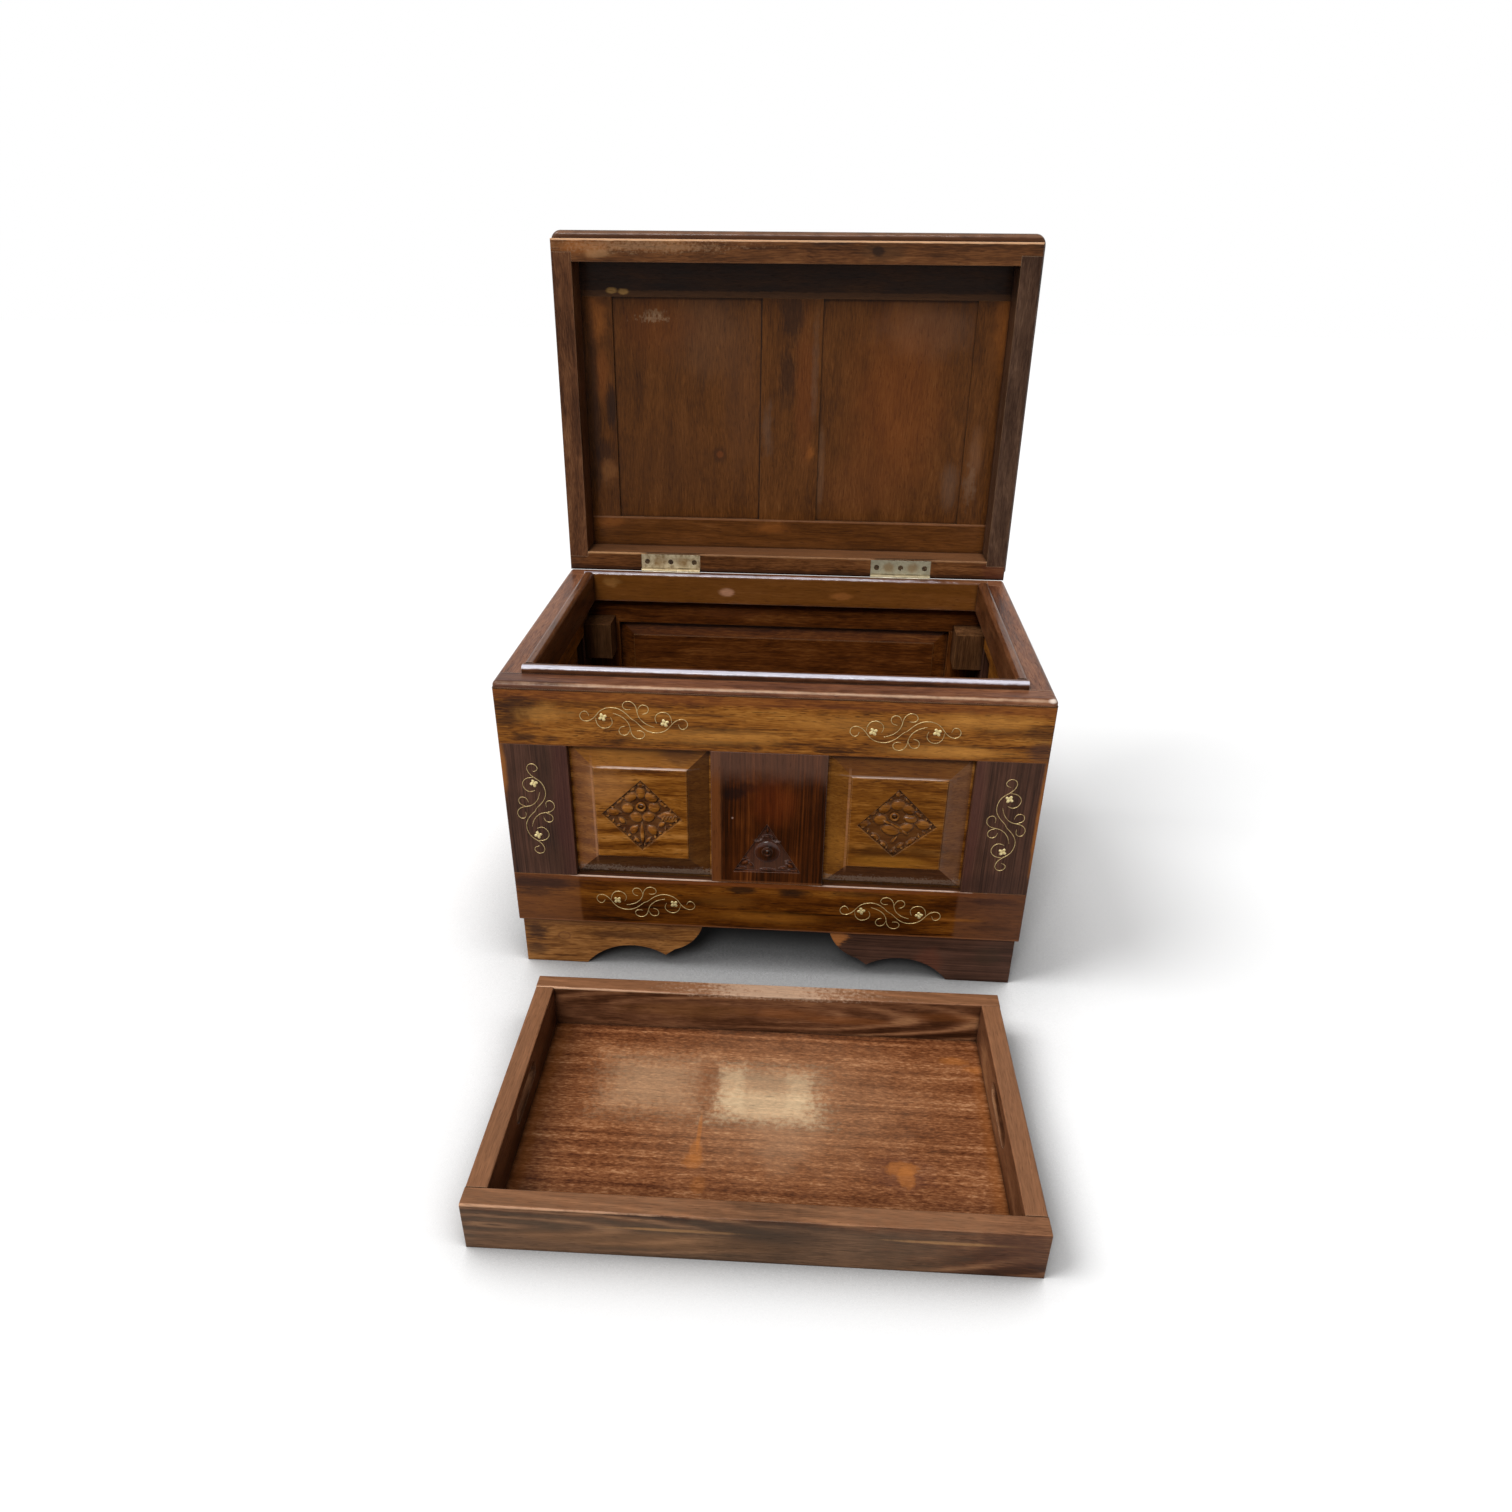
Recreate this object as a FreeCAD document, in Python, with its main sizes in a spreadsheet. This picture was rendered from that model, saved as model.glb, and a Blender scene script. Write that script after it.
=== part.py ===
import FreeCAD, Part
import Sketcher
import os
import re
from types import SimpleNamespace

# A small wooden dowry chest on bracket feet, with its lid open and its lift-out tray on the floor.
# Lengths are in millimetres and angles in degrees. +Z is up and -Y is the front of the chest.
# Each piece is drawn in plain axes first: X to the right, Y from front to back, Z up, with X = 0 on the
# middle of the chest, Y = 0 on its front face and Z = 0 on the floor. Lid pieces are drawn with the lid shut.

SIZES = (
    ("chest_width", 560, "over the front frame"),
    ("chest_depth", 381.7, "front face to back face"),
    ("foot_height", 61, "floor to the underside of the frames"),
    ("frame_height", 282.5, "underside to top of the four frames"),
    ("frame_board", 25, "thickness of frame boards, also the width of the rim"),
    ("corner_round", 2, "radius on the upright corners"),
    ("front_rail", 62, "height of the front rails"),
    ("front_stile", 71, "width of the front stiles"),
    ("front_muntin", 120, "width of the middle board"),
    ("front_bevel", 24.5, "width of the bevel round a front field"),
    ("back_top_rail", 56, "height"),
    ("back_bottom_rail", 62, "height"),
    ("back_stile", 65, "width"),
    ("back_bevel", 18, "width of the bevel round the back field"),
    ("side_rail", 62, "height of the side rails"),
    ("side_stile", 46, "width of the side stiles"),
    ("side_bevel", 24, "width of the bevel round a side field"),
    ("groove_width", 8, "panel groove, and mortises in line with it"),
    ("groove_depth", 9, "panel groove"),
    ("panel_play", 0.5, "room for a panel to swell in its groove"),
    ("joint_gap", 0.05, "glue line on each cheek of a tongue or tenon"),
    ("tenon_length", 20, "stub tenons on stiles and muntins"),
    ("tenon_gap", 1, "room beyond a tenon's end"),
    ("tenon_shoulder", 12, "shoulder beside a tenon"),
    ("panel_margin", 2.5, "flat strip round a bevel"),
    ("field_recess", 2, "field below the frame's face"),
    ("field_step", 2, "small step between bevel and field"),
    ("bottom_thickness", 6, "bottom board"),
    ("bottom_rise", 12, "bottom board above the frames' underside"),
    ("bottom_tongue", 6, "how far the bottom board enters its grooves"),
    ("bottom_play", 0.3, "room for the bottom board in its grooves"),
    ("rim_thickness", 6.5, "rim boards on top of the frames"),
    ("rim_round", 5, "radius on the rim's outer edge"),
    ("lip_thickness", 12, "lip boards inside the rim"),
    ("lip_rise", 7, "lip above the rim"),
    ("lip_height", 37, "lip boards from top to bottom"),
    ("lip_round", 4, "radius on the lip's top edges"),
    ("rest_width", 35, "tray rest blocks, along X"),
    ("rest_depth", 36, "tray rest blocks, along Y"),
    ("rest_height", 46, "tray rest blocks"),
    ("foot_board", 20, "thickness of bracket feet"),
    ("foot_inset", 4, "feet behind the frames' faces"),
    ("foot_length", 205, "front and back bracket feet"),
    ("side_foot_length", 130, "side bracket feet, between the front and back ones"),
    ("block_side", 30, "glue block in each foot's corner"),
    ("block_clearance", 5, "glue block above the floor"),
    ("lip_clearance", 1.2, "lid boards clear of the lip"),
    ("lid_side_height", 44, "lid boards"),
    ("lid_front_rebate", 10, "end rebates in the lid's front board"),
    ("lid_back_rebate", 6, "end rebates in the lid's back board"),
    ("lid_edge_round", 2.5, "radius on the lid boards' outer lower edges"),
    ("lid_top_thickness", 18, "frame of the lid's top"),
    ("lid_overhang", 9.5, "lid top beyond its boards at front and sides"),
    ("lid_reveal", 37, "lid rails and stiles seen from inside"),
    ("lid_muntin", 73, "width"),
    ("lid_bevel", 20, "width of the bevel round a lid field"),
    ("lid_panel_recess", 3.5, "lid panels below their frame, seen from inside"),
    ("lid_field_recess", 0.5, "lid field below the lid's face"),
    ("lid_field_step", 1.5, "small step round a lid field"),
    ("lid_round", 6, "radius on the lid top's outer edges"),
    ("lid_corner", 12, "radius of the lid top's corners seen from above"),
    ("lid_gap", 0.8, "shut lid above the rim"),
    ("lid_lean", 92.5, "angle the lid stands open at"),
    ("hinge_length", 76, "leaf and barrel"),
    ("hinge_spread", 148, "hinge centre from the middle"),
    ("leaf_thickness", 1.8, "hinge leaves"),
    ("leaf_reach", 22.3, "leaf from the back face"),
    ("barrel_radius", 3, "hinge barrel"),
    ("barrel_inset", 1.5, "barrel axis in front of the back face"),
    ("barrel_room", 0.4, "round a barrel let into wood or another leaf"),
    ("pin_radius", 1.5, "hinge pin"),
    ("pin_clearance", 0.05, "running clearance round the pin"),
    ("knuckle_gap", 0.3, "between knuckles"),
    ("seat_gap", 0.1, "round a leaf let into wood"),
    ("screw_radius", 1.6, "hinge screws"),
    ("screw_head_radius", 3.4, "hinge screws"),
    ("screw_length", 14, "hinge screws"),
    ("screw_row", 13, "screw row from the back face"),
    ("screw_spacing", 30.5, "screw to screw"),
    ("tray_gap", 2, "tray to lip, each side"),
    ("tray_slack", 4.7, "more play of the tray from front to back"),
    ("tray_height", 52, "tray boards"),
    ("tray_reveal", 2, "stowed tray below the rim"),
    ("tray_board", 19, "thickness"),
    ("tray_bottom", 4, "bottom board let in flush"),
    ("tray_rebate", 8, "width of the rebate round the bottom board"),
    ("tray_tongue", 5, "side boards housed in the long boards"),
    ("tray_tongue_width", 8, "width"),
    ("tray_tongue_stop", 10, "housing stops below the top"),
    ("tray_edge_round", 1.5, "radius on the tray's outer top edges"),
    ("slot_length", 75, "hand slot"),
    ("slot_height", 20, "hand slot"),
    ("slot_level", 32, "slot's centre above the tray's underside"),
    ("tray_ahead", 85, "tray's back edge in front of the chest"),
    ("tray_aside", 7, "tray's centre right of the chest's"),
    ("tray_turn", 0.7, "tray turned on the floor"),
    ("origin_setback", 36.175, "chest front ahead of the origin"),
    ("wire_width", 0.9, "brass wire of the inlay"),
    ("flower_width", 6.6, "inlaid flower across two petals"),
    ("petal_width", 2.9, "inlaid flowers"),
    ("inlay_rise", 0.4, "wire and flowers proud of the front"),
    ("scroll_length", 104, "one inlaid scroll from end to end"),
    ("rail_scroll_place", 134, "rail scrolls from the middle"),
    ("top_scroll_level", 313, "above the floor"),
    ("bottom_scroll_level", 91, "above the floor"),
    ("stile_scroll_place", 247, "stile scrolls from the middle"),
    ("stile_scroll_level", 205, "above the floor"),
)

# Points of a bracket foot's lower edge from its outer corner, as shares of its length and height.
# An arc starts where the edge has come to and has the point it passes through and its end.
FOOT_SHARES = (
    ((0.342, 0),),
    ((0.592, 0.447), (0.788, 0.262)),
    ((0.84, 0.4),),
    ((0.95, 0.65), (1, 1)),
)

# Curls of one inlaid scroll: centre across, centre up and radius as shares of its length, then the
# angle each starts at and the angle it turns through.
SCROLL_SHARES = (
    (-0.16, -0.03, 0.17, 20, 160),
    (0.16, 0.03, 0.17, 200, 160),
    (-0.4, -0.03, 0.07, 180, 180),
    (0.4, 0.03, 0.07, 0, 180),
)
FLOWER_SHARES = ((-0.31, 0.03), (0.31, -0.03))

PARTS_FOLDER = "parts"
UP = FreeCAD.Vector(0, 0, 1)
RIGHT = FreeCAD.Vector(1, 0, 0)
FORWARD = FreeCAD.Vector(0, -1, 0)
NEAR = 1e-4

doc = FreeCAD.newDocument("dowry_chest")
sheet = doc.addObject("Spreadsheet::Sheet", "Sizes")
for row, (alias, value, note) in enumerate(SIZES, start=1):
    sheet.set(f"A{row}", alias)
    sheet.set(f"B{row}", str(value))
    sheet.set(f"C{row}", note)
    sheet.setAlias(f"B{row}", alias)
doc.recompute()
size = SimpleNamespace(**{alias: float(sheet.get(alias)) for alias, _, _ in SIZES})

# Levels and places that several pieces share, as expressions on the sheet.
RIM_TOP = "(foot_height + frame_height + rim_thickness)"
LIP_FOOT = f"({RIM_TOP} + lip_rise - lip_height)"
REST_TOP = f"({RIM_TOP} - tray_reveal - tray_height)"
LID_FOOT = f"({RIM_TOP} + lid_gap)"
LID_BOARD = "(frame_board - lip_clearance)"
WELL_WIDTH = "(chest_width - 2 * frame_board)"
WELL_DEPTH = "(chest_depth - 2 * frame_board)"
AXIS_Y = "(chest_depth - barrel_inset)"
AXIS_Z = f"({RIM_TOP} + lid_gap / 2)"
KNUCKLE = "((hinge_length - 4 * knuckle_gap) / 5)"
TRAY_WIDTH = f"({WELL_WIDTH} - 2 * lip_thickness - 2 * tray_gap)"
TRAY_DEPTH = f"({WELL_DEPTH} - 2 * lip_thickness - 2 * tray_gap - tray_slack)"
SIDES = ("left", "right")


def bound(text):
    """An expression on the sheet, from one that names its cells plainly."""
    return re.sub(r"[a-z][a-z_]*", lambda word: f"Sizes.{word.group(0)}", text)


def near(value, target=0):
    return abs(value - target) < NEAR


def placed(x, y, z, axis=UP, angle=0):
    return FreeCAD.Placement(FreeCAD.Vector(x, y, z), FreeCAD.Rotation(axis, angle))


def mirrored(text, sign):
    return f"-{text}" if sign < 0 else text


rim_top = size.foot_height + size.frame_height + size.rim_thickness
tray_depth = size.chest_depth - 2 * (size.frame_board + size.lip_thickness + size.tray_gap) - size.tray_slack
hinge_axis = FreeCAD.Vector(0, size.chest_depth - size.barrel_inset, rim_top + size.lid_gap / 2)
lid_swing = FreeCAD.Placement(FreeCAD.Vector(), FreeCAD.Rotation(RIGHT, -size.lid_lean), hinge_axis)
whole = placed(0, -size.origin_setback, 0)
lid_open = whole.multiply(lid_swing)
tray_set_down = whole.multiply(
    placed(size.tray_aside, -size.tray_ahead - tray_depth / 2, 0, UP, size.tray_turn)
)


class Piece:
    """One separate piece of the object: a body, and the features that make its shape."""

    made = []

    def __init__(self, name, place=whole):
        self.body = doc.addObject("PartDesign::Body", name)
        self.body.Label = name
        self.body.Placement = place
        Piece.made.append(self.body)

    def feature(self, kind, at, sizes, turn=None):
        made = self.body.newObject(f"PartDesign::{kind}", f"{self.body.Name}_{kind}")
        if turn:
            made.Placement = FreeCAD.Placement(FreeCAD.Vector(), turn)
        for name, text in sizes.items():
            made.setExpression(name, bound(text))
        for axis, text in zip("xyz", at):
            made.setExpression(f"Placement.Base.{axis}", bound(text))
        return made

    def box(self, lengths, at, cut=False):
        kind = "SubtractiveBox" if cut else "AdditiveBox"
        return self.feature(kind, at, dict(zip(("Length", "Width", "Height"), lengths)))

    def rod(self, radius, length, at, along=UP, cut=False):
        kind = "SubtractiveCylinder" if cut else "AdditiveCylinder"
        return self.feature(kind, at, {"Radius": radius, "Height": length}, FreeCAD.Rotation(UP, along))

    def cone(self, low, high, length, at, cut=False):
        kind = "SubtractiveCone" if cut else "AdditiveCone"
        return self.feature(kind, at, {"Radius1": low, "Radius2": high, "Height": length})

    def taper(self, outer, inner, depth, at):
        """A block from a face towards -Y, outer wide and high, to a face inner wide and high."""
        sizes = {"Ymin": "0", "Ymax": depth}
        for prefix, (wide, high) in (("", outer), ("2", inner)):
            sizes[f"X{prefix}min"] = f"-({wide}) / 2"
            sizes[f"X{prefix}max"] = f"({wide}) / 2"
            sizes[f"Z{prefix}min"] = f"-({high}) / 2"
            sizes[f"Z{prefix}max"] = f"({high}) / 2"
        return self.feature("AdditiveWedge", at, sizes)

    def round_off(self, radius, wanted):
        """Round the edges whose middle and direction pass a test."""
        doc.recompute()
        last = self.body.Tip
        names = []
        for number, edge in enumerate(last.Shape.Edges, start=1):
            middle = edge.valueAt((edge.FirstParameter + edge.LastParameter) / 2)
            if wanted(middle, edge.tangentAt(edge.FirstParameter)):
                names.append(f"Edge{number}")
        if not names:
            raise ValueError(f"{self.body.Label}: no edge to round")
        made = self.body.newObject("PartDesign::Fillet", f"{self.body.Name}_round")
        made.Base = (last, names)
        made.setExpression("Radius", bound(radius))
        return made


class Frame:
    """Rails, stiles, an optional muntin and fielded panels, drawn upright with the face at Y = 0.

    The rails run the whole width and the stiles stand between them on stub tenons. Widths are expressions.
    """

    thickness = "frame_board"
    recess = "field_recess"
    step = "field_step"
    groove_face = "((frame_board - groove_width) / 2)"
    muntin = None
    field_inside = False

    def __init__(self, name, place, width, height, rails, stile, bevel):
        self.name = name
        self.place = place
        self.width = width
        self.height = height
        self.low_rail, self.high_rail = rails
        self.stile = stile
        self.bevel = bevel
        self.upright = f"({height} - {self.low_rail} - {self.high_rail})"
        self.edge = f"(({width} - {stile}) / 2)"
        middle_width = f" - {self.muntin}" if self.muntin else ""
        panels = 2 if self.muntin else 1
        self.opening = f"(({width} - 2 * {stile}{middle_width}) / {panels})"

    def soften(self, piece):
        """Round whatever outer edges this kind of frame has."""

    def tenoned(self):
        """Centres and widths of the uprights that stand on tenons."""
        found = [(f"-{self.edge}", self.stile), (self.edge, self.stile)]
        if self.muntin:
            found.append(("0", self.muntin))
        return found

    def rail(self, name, high, foot, groove_foot, mortise_foot):
        piece = Piece(name, self.place)
        piece.box((self.width, self.thickness, high), (f"-{self.width} / 2", "0", foot))
        run = f"({self.width} - 2 * {self.stile} + 2 * groove_depth)"
        piece.box((run, "groove_width", "groove_depth"), (f"-{run} / 2", self.groove_face, groove_foot), True)
        for centre, wide in self.tenoned():
            hole = f"({wide} - 2 * tenon_shoulder)"
            lengths = (hole, "groove_width", "tenon_length + tenon_gap")
            piece.box(lengths, (f"{centre} - {hole} / 2", self.groove_face, mortise_foot), True)
        self.soften(piece)
        return piece

    def add_upright(self, piece, centre, wide, groove_sides):
        piece.box((wide, self.thickness, self.upright), (f"{centre} - {wide} / 2", "0", self.low_rail))
        for side in groove_sides:
            start = f"{centre} - {wide} / 2" if side < 0 else f"{centre} + {wide} / 2 - groove_depth"
            lengths = ("groove_depth", "groove_width", self.upright)
            piece.box(lengths, (start, self.groove_face, self.low_rail), True)
        tenon = f"({wide} - 2 * tenon_shoulder)"
        for foot in (f"{self.low_rail} - tenon_length", f"{self.height} - {self.high_rail}"):
            piece.box(
                (tenon, "groove_width - 2 * joint_gap", "tenon_length"),
                (f"{centre} - {tenon} / 2", f"{self.groove_face} + joint_gap", foot),
            )

    def panel(self, name, centre):
        piece = Piece(name, self.place)
        middle = f"({self.low_rail} + {self.upright} / 2)"
        entry = "(groove_depth - panel_play)"
        cheeks = "(groove_width - 2 * joint_gap)"
        front = f"({self.groove_face} + joint_gap)"
        wide = f"({self.opening} + 2 * {entry})"
        high = f"({self.upright} + 2 * {entry})"
        piece.box((wide, cheeks, high), (f"{centre} - {wide} / 2", front, f"{middle} - {high} / 2"))
        foot = (f"({self.opening} - 2 * panel_margin)", f"({self.upright} - 2 * panel_margin)")
        field = (f"({self.opening} - 2 * {self.bevel})", f"({self.upright} - 2 * {self.bevel})")
        rise = f"({front} - {self.recess} - {self.step})"
        lengths = (field[0], self.step, field[1])
        corner = (f"{centre} - {field[0]} / 2", f"{middle} - {field[1]} / 2")
        piece.taper(field, foot, rise, (centre, f"{self.recess} + {self.step}", middle))
        piece.box(lengths, (corner[0], self.recess, corner[1]))
        if self.field_inside:
            piece.taper(foot, field, rise, (centre, f"{front} + {cheeks}", middle))
            piece.box(lengths, (corner[0], f"{self.thickness} - {self.recess} - {self.step}", corner[1]))

    def build_rails(self, low_name, high_name):
        groove = f"{self.low_rail} - groove_depth"
        mortise = f"{self.low_rail} - tenon_length - tenon_gap"
        low = self.rail(f"{self.name}_{low_name}", self.low_rail, "0", groove, mortise)
        top = f"{self.height} - {self.high_rail}"
        high = self.rail(f"{self.name}_{high_name}", self.high_rail, top, top, top)
        return low, high

    def build_stile_pair(self):
        """Both stiles as one piece of two boards, for the frames whose stiles are counted together."""
        pair = Piece(f"{self.name}_stiles", self.place)
        self.add_upright(pair, f"-{self.edge}", self.stile, (1,))
        self.add_upright(pair, self.edge, self.stile, (-1,))
        self.soften(pair)

    def build_stiles(self):
        for side, sign in zip(SIDES, (-1, 1)):
            piece = Piece(f"{self.name}_{side}_stile", self.place)
            self.add_upright(piece, mirrored(self.edge, sign), self.stile, (-sign,))
            self.soften(piece)

    def build_middle(self):
        self.add_upright(Piece(f"{self.name}_muntin", self.place), "0", self.muntin, (-1, 1))
        shift = f"(({self.opening} + {self.muntin}) / 2)"
        for side, sign in zip(SIDES, (-1, 1)):
            self.panel(f"{self.name}_{side}_panel", mirrored(shift, sign))

    def groove_for_bottom(self, rail, run):
        depth = "(bottom_tongue + bottom_play)"
        lengths = (run, depth, "bottom_thickness + joint_gap")
        rail.box(lengths, (f"-{run} / 2", f"{self.thickness} - {depth}", "bottom_rise"), True)


class CornerFrame(Frame):
    """A front or back frame, whose ends are the chest's upright corners."""

    def soften(self, piece):
        doc.recompute()
        bounds = piece.body.Tip.Shape.BoundBox
        half = max(bounds.XMax, -bounds.XMin)
        piece.round_off(
            "corner_round",
            lambda middle, along: near(middle.y) and near(abs(middle.x), half) and near(abs(along.z), 1),
        )


class FrontFrame(CornerFrame):
    """The face of the chest, with a wide middle board between two panels."""

    muntin = "front_muntin"


class BackFrame(CornerFrame):
    """The back of the chest, with one wide panel fielded on both faces."""

    field_inside = True


class LidFrame(Frame):
    """The top of the lid, laid flat with its face up, its outer edges rounded above and below."""

    thickness = "lid_top_thickness"
    recess = "lid_field_recess"
    step = "lid_field_step"
    groove_face = "(lid_top_thickness - lid_panel_recess - groove_width)"
    muntin = "lid_muntin"

    def soften(self, piece):
        doc.recompute()
        bounds = piece.body.Tip.Shape.BoundBox
        half = max(bounds.XMax, -bounds.XMin)
        faces = (bounds.YMin, bounds.YMax)
        if near(bounds.ZMin):
            piece.round_off(
                "lid_corner",
                lambda middle, along: near(abs(middle.x), half) and near(middle.z) and near(abs(along.y), 1),
            )
            piece.round_off(
                "lid_round",
                lambda middle, along: min(abs(middle.y - face) for face in faces) < NEAR
                and not near(middle.z, bounds.ZMax),
            )
        else:
            piece.round_off(
                "lid_round",
                lambda middle, along: near(abs(middle.x), half) and near(abs(along.z), 1),
            )


# The four frames of the chest and its bottom board.

def build_case():
    front = FrontFrame(
        "front", whole.multiply(placed(0, 0, size.foot_height)), "chest_width", "frame_height",
        ("front_rail", "front_rail"), "front_stile", "front_bevel",
    )
    front_low, _ = front.build_rails("bottom_rail", "top_rail")
    front.build_stiles()
    front.build_middle()

    back = BackFrame(
        "back", whole.multiply(placed(0, size.chest_depth, size.foot_height, UP, 180)), "chest_width",
        "frame_height", ("back_bottom_rail", "back_top_rail"), "back_stile", "back_bevel",
    )
    back_low, back_high = back.build_rails("bottom_rail", "top_rail")
    back.build_stile_pair()
    back.panel("back_panel", "0")
    depth = "screw_length - rim_thickness"
    for place in screw_places():
        back_high.rod(
            "screw_radius + joint_gap", f"{depth} + joint_gap",
            (place, "screw_row", f"frame_height - ({depth}) - joint_gap"), UP, True,
        )

    run = f"({WELL_WIDTH} + 2 * bottom_tongue + 2 * bottom_play)"
    front.groove_for_bottom(front_low, run)
    back.groove_for_bottom(back_low, run)

    for side, sign in zip(SIDES, (-1, 1)):
        place = placed(sign * size.chest_width / 2, size.chest_depth / 2, size.foot_height, UP, sign * 90)
        frame = Frame(
            side, whole.multiply(place), WELL_DEPTH, "frame_height", ("side_rail", "side_rail"),
            "side_stile", "side_bevel",
        )
        low, _ = frame.build_rails("bottom_rail", "top_rail")
        frame.build_stile_pair()
        frame.panel(f"{side}_panel", "0")
        frame.groove_for_bottom(low, WELL_DEPTH)

    board = Piece("bottom_board")
    wide = f"({WELL_WIDTH} + 2 * bottom_tongue)"
    deep = f"({WELL_DEPTH} + 2 * bottom_tongue)"
    board.box(
        (wide, deep, "bottom_thickness"),
        (f"-{wide} / 2", f"(chest_depth - {deep}) / 2", "foot_height + bottom_rise"),
    )


# The rim on top of the frames, the lip inside it and the blocks the tray rests on.

def build_rim():
    foot = "foot_height + frame_height"
    for name, start in (("rim_front", "0"), ("rim_back", "chest_depth - frame_board")):
        board = Piece(name)
        board.box(("chest_width", "frame_board", "rim_thickness"), ("-chest_width / 2", start, foot))
        doc.recompute()
        bounds = board.body.Tip.Shape.BoundBox
        outer = bounds.YMin if name == "rim_front" else bounds.YMax
        board.round_off(
            "rim_round",
            lambda middle, along: (near(middle.y, outer) or near(abs(middle.x), bounds.XMax))
            and not near(middle.z, bounds.ZMin) and not near(middle.y, bounds.YMin + bounds.YMax - outer),
        )
        if name == "rim_back":
            cut_leaf_seats(board, f"{RIM_TOP} - leaf_thickness")
            for place in screw_places():
                board.rod(
                    "screw_radius + joint_gap", "rim_thickness",
                    (place, "chest_depth - screw_row", foot), UP, True,
                )
    for side, sign in zip(SIDES, (-1, 1)):
        board = Piece(f"rim_{side}")
        start = "-chest_width / 2" if sign < 0 else "chest_width / 2 - frame_board"
        board.box(("frame_board", WELL_DEPTH, "rim_thickness"), (start, "frame_board", foot))
        doc.recompute()
        bounds = board.body.Tip.Shape.BoundBox
        outer = bounds.XMin if sign < 0 else bounds.XMax
        board.round_off(
            "rim_round",
            lambda middle, along: near(middle.x, outer) and near(middle.z, bounds.ZMax),
        )


def build_lip():
    for name, start in (("lip_front", "frame_board"), ("lip_back", "chest_depth - frame_board - lip_thickness")):
        board = Piece(name)
        board.box((WELL_WIDTH, "lip_thickness", "lip_height"), (f"-{WELL_WIDTH} / 2", start, LIP_FOOT))
        round_top(board, "lip_round", lambda along: near(abs(along.x), 1))
    inner = f"({WELL_DEPTH} - 2 * lip_thickness)"
    for side, sign in zip(SIDES, (-1, 1)):
        board = Piece(f"lip_{side}")
        start = f"-{WELL_WIDTH} / 2" if sign < 0 else f"{WELL_WIDTH} / 2 - lip_thickness"
        board.box(("lip_thickness", inner, "lip_height"), (start, "frame_board + lip_thickness", LIP_FOOT))
        round_top(board, "lip_round", lambda along: near(abs(along.y), 1))


def round_top(board, radius, wanted):
    doc.recompute()
    top = board.body.Tip.Shape.BoundBox.ZMax
    board.round_off(radius, lambda middle, along: near(middle.z, top) and wanted(along))


def build_rests():
    blocks = Piece("tray_rest_blocks")
    for across in (f"-{WELL_WIDTH} / 2", f"{WELL_WIDTH} / 2 - rest_width"):
        for along in ("frame_board", "chest_depth - frame_board - rest_depth"):
            blocks.box(("rest_width", "rest_depth", "rest_height"), (across, along, f"{REST_TOP} - rest_height"))


# The bracket feet: eight cut boards and a glue block in each corner.

class FootOutline:
    """The sketch of one bracket foot, seen from its face, with its outer corner at the origin."""

    def __init__(self, piece, length):
        self.length = length
        self.spans = (getattr(size, length), size.foot_height)
        self.sketch = piece.body.newObject("Sketcher::SketchObject", f"{piece.body.Name}_outline")
        planes = piece.body.Origin.OriginFeatures
        plane = next(item for item in planes if item.Role == "XZ_Plane")
        self.sketch.AttachmentSupport = [(plane, "")]
        self.sketch.MapMode = "FlatFace"

    def point(self, share):
        return FreeCAD.Vector(share[0] * self.spans[0], share[1] * self.spans[1], 0)

    def pin(self, curve, end, share):
        """Hold one point of the sketch at its shares of the length and height."""
        for kind, part, name, axis in (
            ("DistanceX", share[0], self.length, -2),
            ("DistanceY", share[1], "foot_height", -1),
        ):
            if part == 0:
                self.sketch.addConstraint(Sketcher.Constraint("PointOnObject", curve, end, axis))
                continue
            value = self.point(share).x if kind == "DistanceX" else self.point(share).y
            number = self.sketch.addConstraint(Sketcher.Constraint(kind, -1, 1, curve, end, value))
            self.sketch.setExpression(f"Constraints[{number}]", bound(f"{name} * {part}"))

    def start_of(self, curve, share):
        """Which end of a curve lies at a point: the sketch stores every arc anticlockwise."""
        return 1 if self.sketch.getPoint(curve, 1).distanceToPoint(self.point(share)) < NEAR else 2

    def draw(self):
        here = (0, 0)
        first = None
        last = None
        for step in FOOT_SHARES + (((0, 1),), ((0, 0),)):
            if len(step) == 2:
                through, there = step
                curve = self.sketch.addGeometry(
                    Part.Arc(self.point(here), self.point(through), self.point(there)), False
                )
                mark = self.sketch.addGeometry(Part.Point(self.point(through)), True)
                self.pin(mark, 1, through)
                self.sketch.addConstraint(Sketcher.Constraint("PointOnObject", mark, 1, curve))
            else:
                there = step[0]
                curve = self.sketch.addGeometry(Part.LineSegment(self.point(here), self.point(there)), False)
            start = self.start_of(curve, here)
            if last is None:
                first = (curve, start)
            else:
                self.sketch.addConstraint(Sketcher.Constraint("Coincident", *last, curve, start))
                self.pin(curve, start, here)
            last = (curve, 3 - start)
            here = there
        self.sketch.addConstraint(Sketcher.Constraint("Coincident", *last, *first))
        self.pin(*first, (0, 0))
        return self.sketch


def build_foot(name, length, x, y, angle):
    """A foot running from its outer corner at X, Y, with its board to the left of that line."""
    piece = Piece(name, whole.multiply(placed(x, y, 0, UP, angle)))
    outline = FootOutline(piece, length).draw()
    pad = piece.body.newObject("PartDesign::Pad", f"{name}_board")
    pad.Profile = outline
    pad.setExpression("Length", bound("foot_board"))
    pad.Reversed = True
    doc.recompute()
    if pad.Shape.BoundBox.YMin < -NEAR:
        raise ValueError(f"{name}: the board grew the wrong way")


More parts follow.
